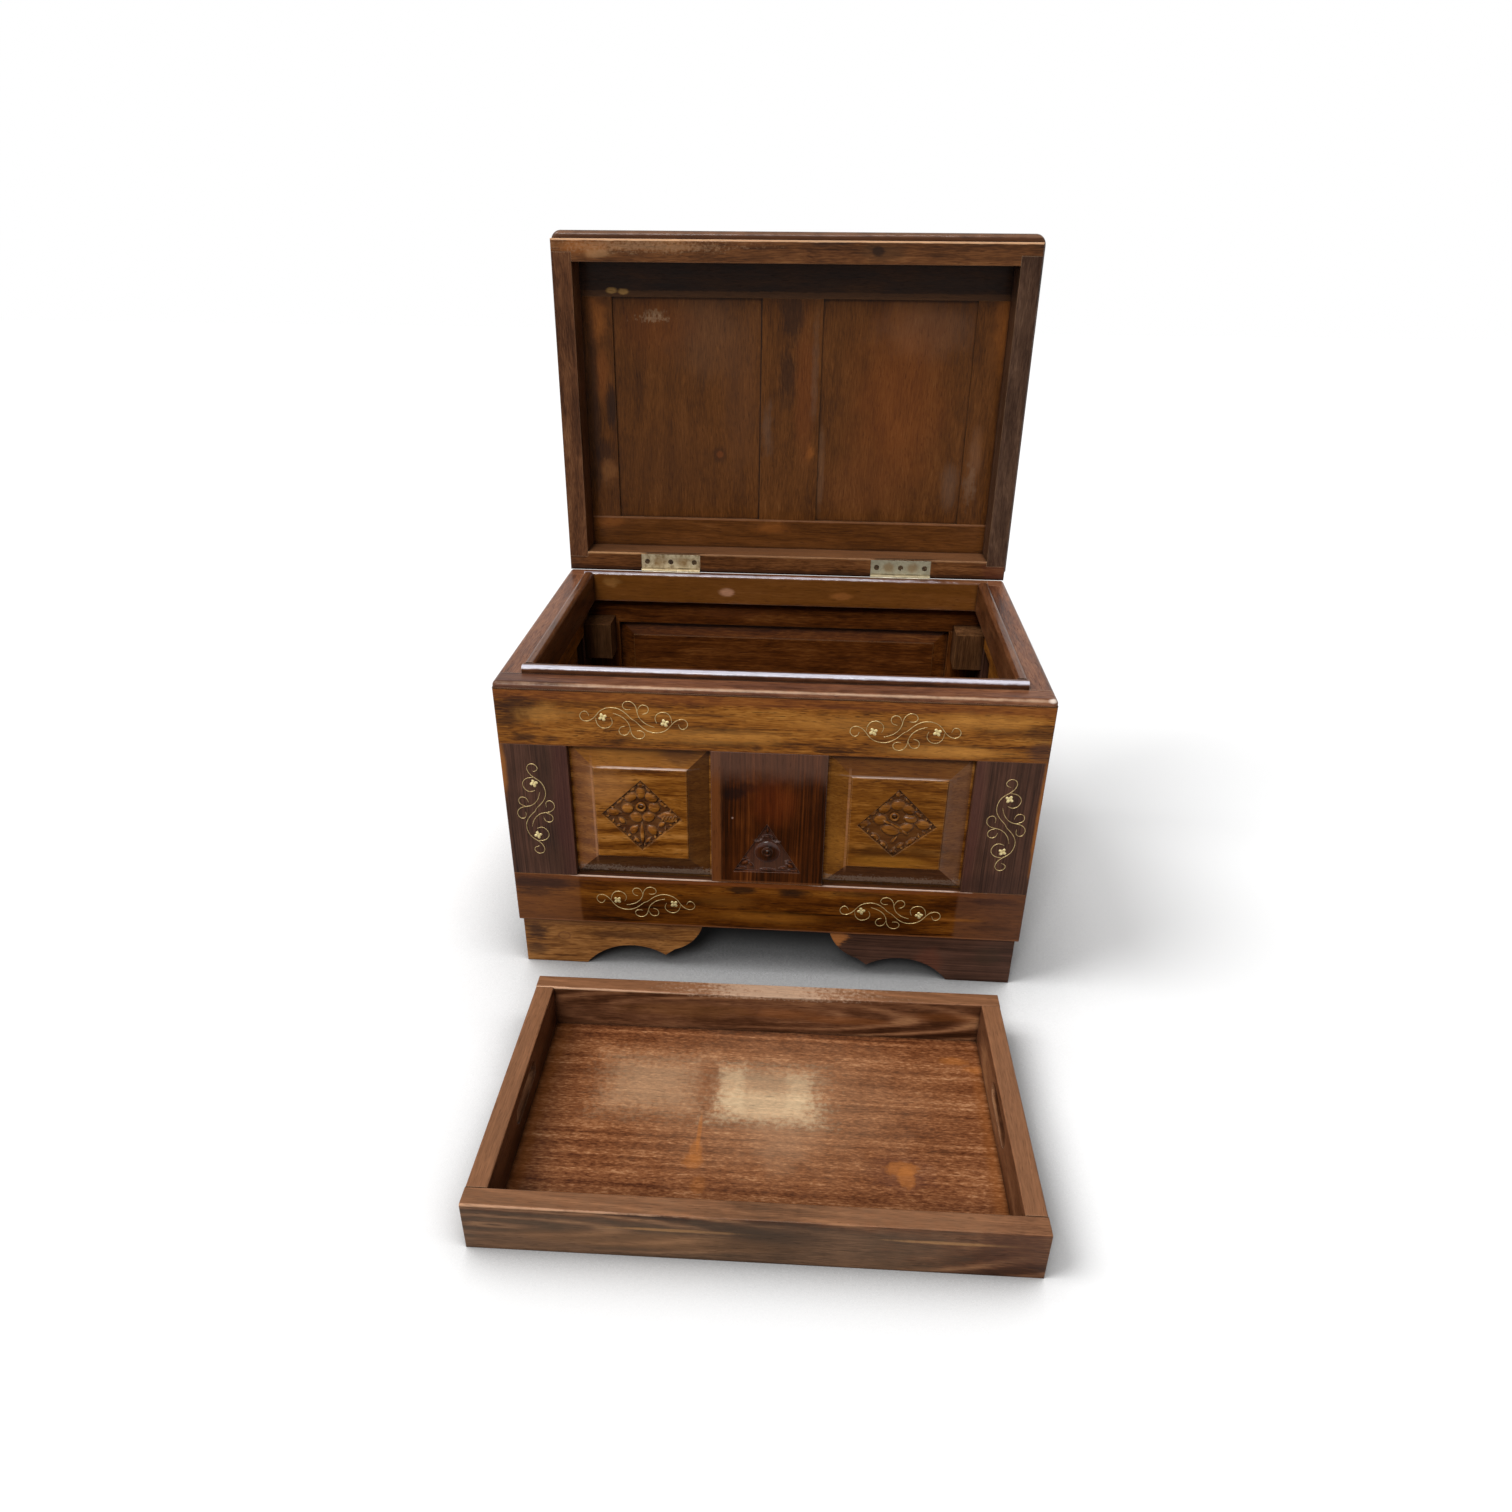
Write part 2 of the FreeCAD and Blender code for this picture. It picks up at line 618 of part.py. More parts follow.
def build_feet():
    outer = size.chest_width / 2 - size.foot_inset
    inner = outer - size.foot_board
    front = size.foot_inset
    back = size.chest_depth - size.foot_inset
    board = size.foot_board
    build_foot("front_left_foot", "foot_length", -outer, front, 0)
    build_foot("front_right_foot", "foot_length", outer, front + board, 180)
    build_foot("back_left_foot", "foot_length", -outer, back - board, 0)
    build_foot("back_right_foot", "foot_length", outer, back, 180)
    build_foot("left_front_foot", "side_foot_length", -inner, front + board, 90)
    build_foot("right_front_foot", "side_foot_length", outer, front + board, 90)
    build_foot("left_back_foot", "side_foot_length", -outer, back - board, -90)
    build_foot("right_back_foot", "side_foot_length", inner, back - board, -90)
    blocks = Piece("foot_blocks")
    set_in = "(foot_inset + foot_board)"
    for across in (f"-chest_width / 2 + {set_in}", f"chest_width / 2 - {set_in} - block_side"):
        for along in (set_in, f"chest_depth - {set_in} - block_side"):
            blocks.box(
                ("block_side", "block_side", "foot_height - block_clearance"),
                (across, along, "block_clearance"),
            )


# The lid: four boards under a framed top.

def build_lid():
    for name, start, rebate, inner_start in (
        ("lid_front_board", "0", "lid_front_rebate", f"{LID_BOARD} - lid_front_rebate"),
        ("lid_back_board", f"chest_depth - {LID_BOARD}", "lid_back_rebate", f"chest_depth - {LID_BOARD}"),
    ):
        board = Piece(name, lid_open)
        board.box(("chest_width", LID_BOARD, "lid_side_height"), ("-chest_width / 2", start, LID_FOOT))
        for across in ("-chest_width / 2", f"chest_width / 2 - {LID_BOARD}"):
            board.box((LID_BOARD, rebate, "lid_side_height"), (across, inner_start, LID_FOOT), True)
        doc.recompute()
        bounds = board.body.Tip.Shape.BoundBox
        outer = bounds.YMin if name == "lid_front_board" else bounds.YMax
        board.round_off(
            "lid_edge_round",
            lambda middle, along: near(middle.z, bounds.ZMin)
            and (near(middle.y, outer) or near(abs(middle.x), bounds.XMax)),
        )
        if name == "lid_back_board":
            cut_leaf_seats(board, LID_FOOT)
            for place in screw_places():
                board.rod(
                    "screw_radius + joint_gap", "screw_length + joint_gap",
                    (place, "chest_depth - screw_row", LID_FOOT), UP, True,
                )
    start = f"({LID_BOARD} - lid_front_rebate)"
    length = f"(chest_depth - 2 * {LID_BOARD} + lid_front_rebate + lid_back_rebate)"
    for side, sign in zip(SIDES, (-1, 1)):
        board = Piece(f"lid_{side}_board", lid_open)
        across = "-chest_width / 2" if sign < 0 else f"chest_width / 2 - {LID_BOARD}"
        board.box((LID_BOARD, length, "lid_side_height"), (across, start, LID_FOOT))
        doc.recompute()
        bounds = board.body.Tip.Shape.BoundBox
        outer = bounds.XMin if sign < 0 else bounds.XMax
        board.round_off(
            "lid_edge_round",
            lambda middle, along: near(middle.z, bounds.ZMin) and near(middle.x, outer),
        )

    top = rim_top + size.lid_gap + size.lid_side_height + size.lid_top_thickness
    flat = lid_open.multiply(placed(0, -size.lid_overhang, top, RIGHT, -90))
    back_rail = f"({LID_BOARD} + lid_reveal)"
    front_rail = f"(lid_overhang + {LID_BOARD} + lid_reveal)"
    frame = LidFrame(
        "lid", flat, "(chest_width + 2 * lid_overhang)", "(chest_depth + lid_overhang)",
        (front_rail, back_rail), front_rail, "lid_bevel",
    )
    frame.build_rails("front_rail", "back_rail")
    frame.build_stiles()
    frame.build_middle()


# Two butt hinges let into the rim and the lid's back board, with their pins and screws.

def screw_places():
    """Where the six screws of a row stand across the chest, as expressions."""
    return [
        f"{centre} {step}"
        for centre in ("-hinge_spread", "hinge_spread")
        for step in ("- screw_spacing", "", "+ screw_spacing")
    ]


def cut_leaf_seats(board, foot):
    for centre in ("-hinge_spread", "hinge_spread"):
        board.box(
            ("hinge_length + 2 * seat_gap", "leaf_reach + seat_gap", "leaf_thickness"),
            (f"{centre} - hinge_length / 2 - seat_gap", "chest_depth - leaf_reach - seat_gap", foot), True,
        )
        board.rod(
            "barrel_radius + barrel_room", "hinge_length + 2 * barrel_room",
            (f"{centre} - hinge_length / 2 - barrel_room", AXIS_Y, AXIS_Z), RIGHT, True,
        )


def build_leaves(name, place, foot, knuckles, bore, head_up):
    """Both leaves of one kind, with knuckles at the given counts along the barrel."""
    leaves = Piece(name, place)
    link = "(barrel_radius + 2 * barrel_room)"
    for centre in ("-hinge_spread", "hinge_spread"):
        start = f"{centre} - hinge_length / 2"
        leaves.box(("hinge_length", "leaf_reach", "leaf_thickness"), (start, "chest_depth - leaf_reach", foot))
        leaves.rod("barrel_radius + barrel_room", "hinge_length", (start, AXIS_Y, AXIS_Z), RIGHT, True)
        for count in knuckles:
            edge = f"{start} + {count} * ({KNUCKLE} + knuckle_gap)"
            leaves.box((KNUCKLE, link, "leaf_thickness"), (edge, f"{AXIS_Y} - {link}", foot))
            leaves.rod("barrel_radius", KNUCKLE, (edge, AXIS_Y, AXIS_Z), RIGHT)
        leaves.rod(bore, "hinge_length", (start, AXIS_Y, AXIS_Z), RIGHT, True)
    radii = ("screw_radius", "screw_head_radius") if head_up else ("screw_head_radius", "screw_radius")
    for across in screw_places():
        leaves.cone(*radii, "leaf_thickness", (across, "chest_depth - screw_row", foot), True)


def build_hinges():
    chest_foot = f"({RIM_TOP} - leaf_thickness)"
    build_leaves("hinge_chest_leaves", whole, chest_foot, (1, 3), "pin_radius", True)
    build_leaves("hinge_lid_leaves", lid_open, LID_FOOT, (0, 2, 4), "pin_radius + pin_clearance", False)
    pins = Piece("hinge_pins")
    for centre in ("-hinge_spread", "hinge_spread"):
        pins.rod("pin_radius", "hinge_length", (f"{centre} - hinge_length / 2", AXIS_Y, AXIS_Z), RIGHT)
    shank = "(screw_length - leaf_thickness)"
    chest_screws = Piece("chest_hinge_screws")
    lid_screws = Piece("lid_hinge_screws", lid_open)
    for across in screw_places():
        row = "chest_depth - screw_row"
        chest_screws.cone("screw_radius", "screw_head_radius", "leaf_thickness", (across, row, chest_foot))
        chest_screws.rod("screw_radius", shank, (across, row, f"{chest_foot} - {shank}"))
        lid_screws.cone("screw_head_radius", "screw_radius", "leaf_thickness", (across, row, LID_FOOT))
        lid_screws.rod("screw_radius", shank, (across, row, f"{LID_FOOT} + leaf_thickness"))


# The lift-out tray, drawn about its own middle.

def build_tray():
    rebate_wide = f"({TRAY_WIDTH} - 2 * tray_board + 2 * tray_rebate)"
    rebate_deep = f"({TRAY_DEPTH} - 2 * tray_board + 2 * tray_rebate)"
    tongue_high = "(tray_height - tray_tongue_stop - tray_bottom)"
    for name, start, inner in (
        ("tray_front_board", f"-{TRAY_DEPTH} / 2", f"-{TRAY_DEPTH} / 2 + tray_board"),
        ("tray_back_board", f"{TRAY_DEPTH} / 2 - tray_board", f"{TRAY_DEPTH} / 2 - tray_board"),
    ):
        board = Piece(name, tray_set_down)
        board.box((TRAY_WIDTH, "tray_board", "tray_height"), (f"-{TRAY_WIDTH} / 2", start, "0"))
        at_front = name == "tray_front_board"
        rebate_at = f"{inner} - tray_rebate" if at_front else inner
        board.box((rebate_wide, "tray_rebate", "tray_bottom"), (f"-{rebate_wide} / 2", rebate_at, "0"), True)
        housing_at = f"{inner} - tray_tongue - joint_gap" if at_front else inner
        housing = ("tray_tongue_width + 2 * joint_gap", "tray_tongue + joint_gap", f"{tongue_high} + joint_gap")
        for sign in (-1, 1):
            middle = mirrored(f"({TRAY_WIDTH} / 2 - tray_board / 2)", sign)
            board.box(
                housing, (f"{middle} - tray_tongue_width / 2 - joint_gap", housing_at, "tray_bottom"), True
            )
        round_top(board, "tray_edge_round", lambda along: near(abs(along.x), 1))

    length = f"({TRAY_DEPTH} - 2 * tray_board)"
    for side, sign in zip(SIDES, (-1, 1)):
        board = Piece(f"tray_{side}_board", tray_set_down)
        start = f"-{TRAY_WIDTH} / 2" if sign < 0 else f"{TRAY_WIDTH} / 2 - tray_board"
        middle = mirrored(f"({TRAY_WIDTH} / 2 - tray_board / 2)", sign)
        board.box(("tray_board", length, "tray_height"), (start, f"-{length} / 2", "0"))
        rebate_at = f"{start} + tray_board - tray_rebate" if sign < 0 else start
        board.box(("tray_rebate", length, "tray_bottom"), (rebate_at, f"-{length} / 2", "0"), True)
        straight = "(slot_length - slot_height)"
        board.box(
            ("tray_board", straight, "slot_height"),
            (start, f"-{straight} / 2", "slot_level - slot_height / 2"), True,
        )
        for end in (-1, 1):
            centre = mirrored(f"{straight} / 2", end)
            board.rod("slot_height / 2", "tray_board", (start, centre, "slot_level"), RIGHT, True)
        for along in (f"-{length} / 2 - tray_tongue", f"{length} / 2"):
            board.box(
                ("tray_tongue_width", "tray_tongue", tongue_high),
                (f"{middle} - tray_tongue_width / 2", along, "tray_bottom"),
            )
        round_top(board, "tray_edge_round", lambda along: near(abs(along.y), 1))

    bottom = Piece("tray_bottom_board", tray_set_down)
    wide = f"({rebate_wide} - 2 * joint_gap)"
    deep = f"({rebate_deep} - 2 * joint_gap)"
    bottom.box((wide, deep, "tray_bottom"), (f"-{wide} / 2", f"-{deep} / 2", "0"))


# The brass inlay: flat wire curls and four-petal flowers, proud of the front face. The right-hand
# scrolls are the left ones mirrored.

def build_inlay():
    inlay = Piece("brass_inlay")
    level = FreeCAD.Rotation(UP, FORWARD)
    spots = [("rail_scroll_place", height, 0) for height in ("top_scroll_level", "bottom_scroll_level")]
    spots.append(("stile_scroll_place", "stile_scroll_level", 90))
    for place, up, turn in spots:
        for sign in (-1, 1):
            across = mirrored(place, sign)
            hand = FreeCAD.Rotation(UP, -sign * turn)

            def spot(share_x, share_z):
                along = hand.multVec(FreeCAD.Vector(-sign * share_x, share_z, 0))
                return f"{across} + scroll_length * {along.x:.4f}", f"{up} + scroll_length * {along.y:.4f}"

            for share_x, share_z, share_radius, start, sweep in SCROLL_SHARES:
                x, z = spot(share_x, share_z)
                first = 180 - start - sweep if sign > 0 else start
                turned = level.multiply(hand).multiply(FreeCAD.Rotation(UP, first))
                for kind, edge in (("AdditiveCylinder", "+"), ("SubtractiveCylinder", "-")):
                    radius = f"scroll_length * {share_radius} {edge} wire_width / 2"
                    inlay.feature(
                        kind, (x, "0", z), {"Radius": radius, "Height": "inlay_rise", "Angle": str(sweep)}, turned
                    )
            for share_x, share_z in FLOWER_SHARES:
                x, z = spot(share_x, share_z)
                for wide, high in (("flower_width", "petal_width"), ("petal_width", "flower_width")):
                    inlay.box((wide, "inlay_rise", high), (f"{x} - {wide} / 2", "-inlay_rise", f"{z} - {high} / 2"))


def export():
    """Write every piece as a STEP file named after it, once all of them are sound."""
    doc.recompute()
    for item in doc.Objects:
        if {"Invalid", "Error"} & set(item.State):
            raise ValueError(f"{item.Label} didn't compute")
    os.makedirs(PARTS_FOLDER, exist_ok=True)
    for body in Piece.made:
        shape = body.Shape
        if shape.isNull() or not shape.isValid() or not shape.Solids:
            raise ValueError(f"{body.Label} has no sound shape")
        shape.exportStep(os.path.join(PARTS_FOLDER, f"{body.Label}.step"))


build_case()
build_rim()
build_lip()
build_rests()
build_feet()
build_lid()
build_hinges()
build_tray()
build_inlay()
export()
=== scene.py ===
"""The looks of a small dowry chest: lid open, lift-out tray on the floor in front of it.

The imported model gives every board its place. This script carves the front panels and the middle board,
lays the brass wire, cuts the screws' slots, and gives every board its own cut of wood.
"""
from __future__ import annotations

import logging
import math
from dataclasses import dataclass, field, replace
from enum import Enum
from typing import Callable, Iterable, Optional, Sequence, Union

import bmesh
import bpy
from mathutils import Matrix, Vector


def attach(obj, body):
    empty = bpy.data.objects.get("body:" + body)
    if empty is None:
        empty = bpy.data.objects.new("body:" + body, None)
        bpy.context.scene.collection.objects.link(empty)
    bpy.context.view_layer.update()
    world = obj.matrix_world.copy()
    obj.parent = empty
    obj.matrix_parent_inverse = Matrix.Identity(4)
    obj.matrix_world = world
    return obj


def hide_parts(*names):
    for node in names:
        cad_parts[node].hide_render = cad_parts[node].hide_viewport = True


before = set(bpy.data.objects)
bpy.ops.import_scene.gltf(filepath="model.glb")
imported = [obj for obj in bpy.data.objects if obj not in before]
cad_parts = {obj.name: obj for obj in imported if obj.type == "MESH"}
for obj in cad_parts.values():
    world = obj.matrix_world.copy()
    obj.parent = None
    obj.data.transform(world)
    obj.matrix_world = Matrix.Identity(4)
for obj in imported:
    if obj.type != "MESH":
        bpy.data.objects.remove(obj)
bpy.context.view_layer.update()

LOG = logging.getLogger("chest")
MM = 0.001
FRONT = -0.036175
# The front face in millimetres, and a reach in millimetres that takes no notice of its direction.
FACE = FRONT / MM
ALL = 1e5
Spot = tuple[float, float]


def rgb(red: int, green: int, blue: int) -> tuple[float, float, float, float]:
    """Turn a display colour into the linear one that shaders take.

    Args:
        red: red, 0 to 255.
        green: green, 0 to 255.
        blue: blue, 0 to 255.

    Returns:
        The linear colour with full alpha.
    """
    linear = [(part / 255 / 12.92) if part <= 10 else ((part / 255 + 0.055) / 1.055) ** 2.4
              for part in (red, green, blue)]
    return (*linear, 1.0)


class Value:
    """A shader value. Arithmetic on it adds Math nodes to its material."""

    def __init__(self, shader: "Shader", socket: bpy.types.NodeSocket) -> None:
        """Keep the socket and the material it is in."""
        self.shader = shader
        self.socket = socket

    def __add__(self, other: "Term") -> "Value":
        """Add."""
        return self.shader.maths("ADD", self, other)

    def __radd__(self, other: float) -> "Value":
        """Add, the other way round."""
        return self.shader.maths("ADD", other, self)

    def __sub__(self, other: "Term") -> "Value":
        """Subtract."""
        return self.shader.maths("SUBTRACT", self, other)

    def __rsub__(self, other: float) -> "Value":
        """Subtract from a number."""
        return self.shader.maths("SUBTRACT", other, self)

    def __mul__(self, other: "Term") -> "Value":
        """Multiply."""
        return self.shader.maths("MULTIPLY", self, other)

    def __rmul__(self, other: float) -> "Value":
        """Multiply, the other way round."""
        return self.shader.maths("MULTIPLY", other, self)

    def __truediv__(self, other: "Term") -> "Value":
        """Divide."""
        return self.shader.maths("DIVIDE", self, other)

    def __pow__(self, power: float) -> "Value":
        """Raise to a power."""
        return self.shader.maths("POWER", self, power)

    def held(self) -> "Value":
        """Keep between 0 and 1."""
        return self.shader.node("ShaderNodeClamp", wires={0: self})


Term = Union[Value, float]
Wire = Union[Value, float, Sequence[float]]


class Shader:
    """A material under construction."""

    def __init__(self, name: str) -> None:
        """Start an empty material.

        Args:
            name: the material's name.
        """
        self.material = bpy.data.materials.new(name)
        self.material.use_nodes = True
        self.tree = self.material.node_tree
        self.tree.nodes.clear()

    def node(self, kind: str, settings: dict | None = None, wires: dict | None = None,
             out: Union[int, str] = 0) -> Value:
        """Add one node.

        Args:
            kind: the node's type.
            settings: its properties, set before its sockets; "stops" is a ramp's list of stops.
            wires: its input sockets by name or number, each a Value, a number or a colour.
            out: the output that is wanted.

        Returns:
            The wanted output.
        """
        made = self.tree.nodes.new(kind)
        for name, value in (settings or {}).items():
            if name == "stops":
                self._stops(made.color_ramp, value)
            else:
                setattr(made, name, value)
        for name, value in (wires or {}).items():
            if isinstance(value, Value):
                self.tree.links.new(value.socket, made.inputs[name])
            else:
                made.inputs[name].default_value = value
        return Value(self, made.outputs[out])

    @staticmethod
    def _stops(ramp: bpy.types.ColorRamp, stops: Sequence[tuple]) -> None:
        """Set a ramp's stops, each a place and a colour."""
        while len(ramp.elements) < len(stops):
            ramp.elements.new(1.0)
        for element, (place, colour) in zip(ramp.elements, stops):
            element.position = place
            element.color = colour

    def maths(self, operation: str, *terms: Term) -> Value:
        """Add a Math node."""
        return self.node("ShaderNodeMath", {"operation": operation}, dict(enumerate(terms)))

    def vectors(self, operation: str, *terms: Wire, out: Union[int, str] = 0) -> Value:
        """Add a Vector Math node."""
        return self.node("ShaderNodeVectorMath", {"operation": operation}, dict(enumerate(terms)), out)

    def mix(self, share: Term, first: Wire, second: Wire, blend: str = "MIX") -> Value:
        """Mix two colours.

        Args:
            share: how much of the second.
            first: the colour underneath.
            second: the colour on top.
            blend: how they mix.

        Returns:
            The mixed colour.
        """
        return self.node("ShaderNodeMix", {"data_type": "RGBA", "blend_type": blend},
                         {0: share, 6: first, 7: second}, out=2)

    def smooth(self, value: Term, low: float, high: float) -> Value:
        """Rise smoothly from 0 to 1.

        Args:
            value: what is read.
            low: where the rise starts; above high, it is a fall.
            high: where it ends.

        Returns:
            The share, from 0 to 1.
        """
        return self.node("ShaderNodeMapRange", {"interpolation_type": "SMOOTHSTEP"},
                         {"Value": value, "From Min": low, "From Max": high})

    def noise(self, place: Value, detail: float = 2.0, roughness: float = 0.5, scale: float = 1.0) -> Value:
        """Fractal noise, about 0.5 on average.

        Args:
            place: where it is read.
            detail: how many layers it has.
            roughness: how much its finer layers count.
            scale: how fine it is.

        Returns:
            The noise.
        """
        return self.node("ShaderNodeTexNoise", {"noise_dimensions": "3D"},
                         {"Vector": place, "Scale": scale, "Detail": detail, "Roughness": roughness})

    def finish(self, surface: Value) -> bpy.types.Material:
        """Join the surface to the output."""
        output = self.tree.nodes.new("ShaderNodeOutputMaterial")
        self.tree.links.new(surface.socket, output.inputs["Surface"])
        return self.material


class Grain(Enum):
    """Which way a board's grain runs."""

    ACROSS = (0, 1, 2)
    DEEP = (1, 0, 2)
    UP = (2, 0, 1)


@dataclass(frozen=True)
class Patch:
    """A place on a board where its colour differs: rubbed, hazed, stained or sunk, or where a highlight, a
    reflection or shade is painted.

    Every patch is written as a row of these values in this order. Those at the end are left out where they
    are the ones given here.

    Attributes:
        place: its middle in the object's frame, in metres here and in millimetres in a row.
        reach: how far it goes from there each way.
        colour: its colour.
        strength: how much of that colour shows.
        edge: how soft its edge is, as a share of its reach.
        ragged: how far the grain and the grit pull its edge about.
        grit: how fine the grit is.
        squared: whether it has sides, and not a round outline.
        shine: how much clear coat it adds.
        facing: the way that faces have to lean for it to lie on them.
    """

    place: tuple[float, ...]
    reach: tuple[float, ...]
    colour: tuple[float, ...]
    strength: float = 0.6
    edge: float = 1.0
    ragged: float = 0.6
    grit: float = 60.0
    squared: bool = False
    shine: float = 0.0
    facing: Optional[tuple[float, ...]] = None

    @classmethod
    def read(cls, rows: Iterable[tuple]) -> list["Patch"]:
        """Turn rows into patches.

        Args:
            rows: each a place, a reach, a colour and whatever follows. A place and a reach of two numbers
                are across and up, and the patch then goes through the whole board.

        Returns:
            The patches.
        """
        made = []
        for place, reach, *rest in rows:
            if len(place) == 2:
                place, reach = (place[0], 0, place[1]), (reach[0], ALL, reach[1])
            made.append(cls(tuple(n * MM for n in place), tuple(n * MM for n in reach), *rest))
        return made

    def mask(self, shader: Shader, spot: Value, figure: Term = 0.5) -> Value:
        """Where the patch lies.

        Args:
            shader: the material.
            spot: the place in the object's frame.
            figure: the grain's figure, which pulls the patch's edge about.

        Returns:
            1 in the patch and 0 outside.
        """
        shares = tuple(1 / reach for reach in self.reach)
        away = shader.vectors("MULTIPLY", shader.vectors("SUBTRACT", spot, self.place), shares)
        if self.squared:
            apart = shader.vectors("ABSOLUTE", away)
            sides = [shader.node("ShaderNodeSeparateXYZ", wires={0: apart}, out=n) for n in range(3)]
            distance = shader.maths("MAXIMUM", shader.maths("MAXIMUM", sides[0], sides[1]), sides[2])
        else:
            distance = shader.vectors("LENGTH", away, out="Value")
        grit = shader.noise(spot, 4.0, 0.6, self.grit)
        distance = distance + (grit - 0.5) * self.ragged * 2 + (figure - 0.5) * self.ragged * 2.4
        mask = shader.smooth(distance, 1 + self.edge / 2, 1 - self.edge / 2)
        if self.facing:
            true = shader.node("ShaderNodeNewGeometry", out="Normal")
            lean = shader.vectors("DOT_PRODUCT", true, self.facing, out="Value")
            mask = mask * shader.smooth(lean, 0.08, 0.14)
        return mask


@dataclass(frozen=True)
class Wood:
    """One finish of wood: its colours from the dark veins to the palest wood, and how it is figured.

    Widths and lengths are in metres. A share is how much of the figure comes from that part of it.
    """

    # Where the five colours stand on the scale from dark to pale.
    STOPS = (0.16, 0.34, 0.5, 0.66, 0.86)

    name: str
    vein: tuple
    dark: tuple
    plain: tuple
    light: tuple
    pale: tuple
    streak_width: float = 0.0035
    streak_length: float = 0.09
    sway: float = 0.03
    ring_width: float = 0.011
    ring_share: float = 0.10
    ring_sharpness: float = 1.0
    streak_share: float = 0.7
    broad_share: float = 0.7
    fibre_length: float = 0.016
    fibre_width: float = 0.0012
    fibre_share: float = 0.5
    mottle_share: float = 0.5
    vein_share: float = 0.5
    pore_share: float = 0.5
    roughness: float = 0.38
    specular: float = 0.08
    coat: float = 0.05
    coat_roughness: float = 0.12
    # The next two fields set painted shade: a darker colour where the surface is hemmed in, in recesses,
    # creases and joints.
    painted_shade_colour: tuple = (0.010, 0.005, 0.003, 1.0)
    painted_shade_share: float = 0.75
    # The next two fields lighten rounded arrises, partly as wear and partly as a painted highlight.
    edge_wear_and_highlight_colour: tuple = (0.42, 0.2, 0.07, 1.0)
    edge_wear_and_highlight_share: float = 0.35
    bump: float = 0.25

    def board(self, name: str, grain: Grain, seed: float, patches: Iterable[tuple] = (),
              tilt: float = 0.0, heart: Spot = (0.05, 0.03), drift: float = 0.06) -> bpy.types.Material:
        """Make the material of one board.

        Args:
            name: the board's name.
            grain: which way its grain runs.
            seed: where it is cut from, so that no two boards match.
            patches: rows of the places where its colour differs.
            tilt: how far the board is turned about the X axis, in radians.
            heart: where the tree's middle is from the object's origin, across and deep, in metres.
            drift: how far the grain runs off along the board, as a slope.

        Returns:
            The material.
        """
        shader = Shader(name)
        spot = shader.node("ShaderNodeTexCoord", out="Object")
        turned = shader.node("ShaderNodeMapping", wires={"Vector": spot, "Rotation": (tilt, 0.0, 0.0)})
        parts = [shader.node("ShaderNodeSeparateXYZ", wires={0: turned}, out=n) for n in grain.value]
        along, across, deep = parts

        def stretched(length: float, width: float, shift: float = 0.0) -> Value:
            """The place, drawn out along the grain."""
            return shader.node("ShaderNodeCombineXYZ", wires={
                0: along * (1 / length) + (seed * 3.1 + shift),
                1: across * (1 / width) + (seed * 1.7 - shift),
                2: deep * (1 / width) + seed * 2.3,
            })

        sway = shader.noise(stretched(0.3, 0.09), 2.0)
        across = across + (sway - 0.5) * self.sway
        wave = shader.noise(stretched(0.06, 0.03, 5.0), 2.0)
        across = across + (wave - 0.5) * self.sway * 0.2
        deep = deep + (wave - 0.5) * 0.004

        aside = across - heart[0] + along * drift
        from_heart = shader.maths("SQRT", aside ** 2.0 + (deep - heart[1]) ** 2.0)
        rings = shader.maths("SINE", from_heart * (2 * math.pi / self.ring_width)) * 0.5 + 0.5
        if self.ring_sharpness != 1:
            rings = rings ** self.ring_sharpness
        ring_fade = shader.smooth(shader.noise(stretched(0.25, 0.05, 9.0), 1.0), 0.35, 0.65)
        streaks = shader.noise(stretched(self.streak_length, self.streak_width), 4.0, 0.6)
        broad = shader.noise(stretched(self.streak_length * 1.6, self.streak_width * 6, 2.0), 3.0, 0.55)
        fibres = shader.noise(stretched(self.fibre_length, self.fibre_width, 4.0), 2.0, 0.6)
        fine = shader.noise(stretched(0.02, 0.0005, 8.0), 2.0, 0.5)
        mottle = shader.noise(stretched(0.05, 0.025, 3.0), 3.0, 0.6)

        tone = 0.5 + (rings - 0.5) * ring_fade * self.ring_share
        tone = tone + (streaks - 0.5) * self.streak_share
        tone = tone + (broad - 0.5) * self.broad_share
        tone = tone + (fibres - 0.5) * self.fibre_share
        tone = tone + (mottle - 0.5) * self.mottle_share
        veins = shader.smooth(shader.noise(stretched(0.22, 0.005, 13.0), 4.0, 0.6), 0.56, 0.74)
        tone = tone - veins * (self.vein_share * 0.4)
        tints = (self.vein, self.dark, self.plain, self.light, self.pale)
        colour = shader.node("ShaderNodeValToRGB", {"stops": tuple(zip(self.STOPS, tints))}, {0: tone})
        pores = shader.smooth(shader.noise(stretched(0.012, 0.0011, 7.0), 1.0), 0.6, 0.72)
        colour = shader.mix(pores * self.pore_share, colour, self.vein)

        coat = shader.maths("ADD", self.coat, 0.0)
        figure = fibres * 0.5 + streaks * 0.5
        lively = 0.5 + fibres * 0.55 + streaks * 0.5 - pores * 0.25
        for patch in Patch.read(patches):
            mask = patch.mask(shader, spot, figure)
            stain = shader.mix(1.0, patch.colour, lively, "MULTIPLY")
            colour = shader.mix(mask * patch.strength, colour, stain)
            if patch.shine:
                coat = coat + mask * patch.shine

        soft = shader.node("ShaderNodeBevel", {"samples": 4}, {"Radius": 0.0013})
        true = shader.node("ShaderNodeNewGeometry", out="Normal")
        # Arrises found by the bevel normal are lightened, partly as wear and partly as a painted highlight.
        arris = 1.0 - shader.vectors("DOT_PRODUCT", soft, true, out="Value")
        edge_wear_and_highlight = shader.smooth(arris + (mottle - 0.5) * 0.08, 0.02, 0.16)
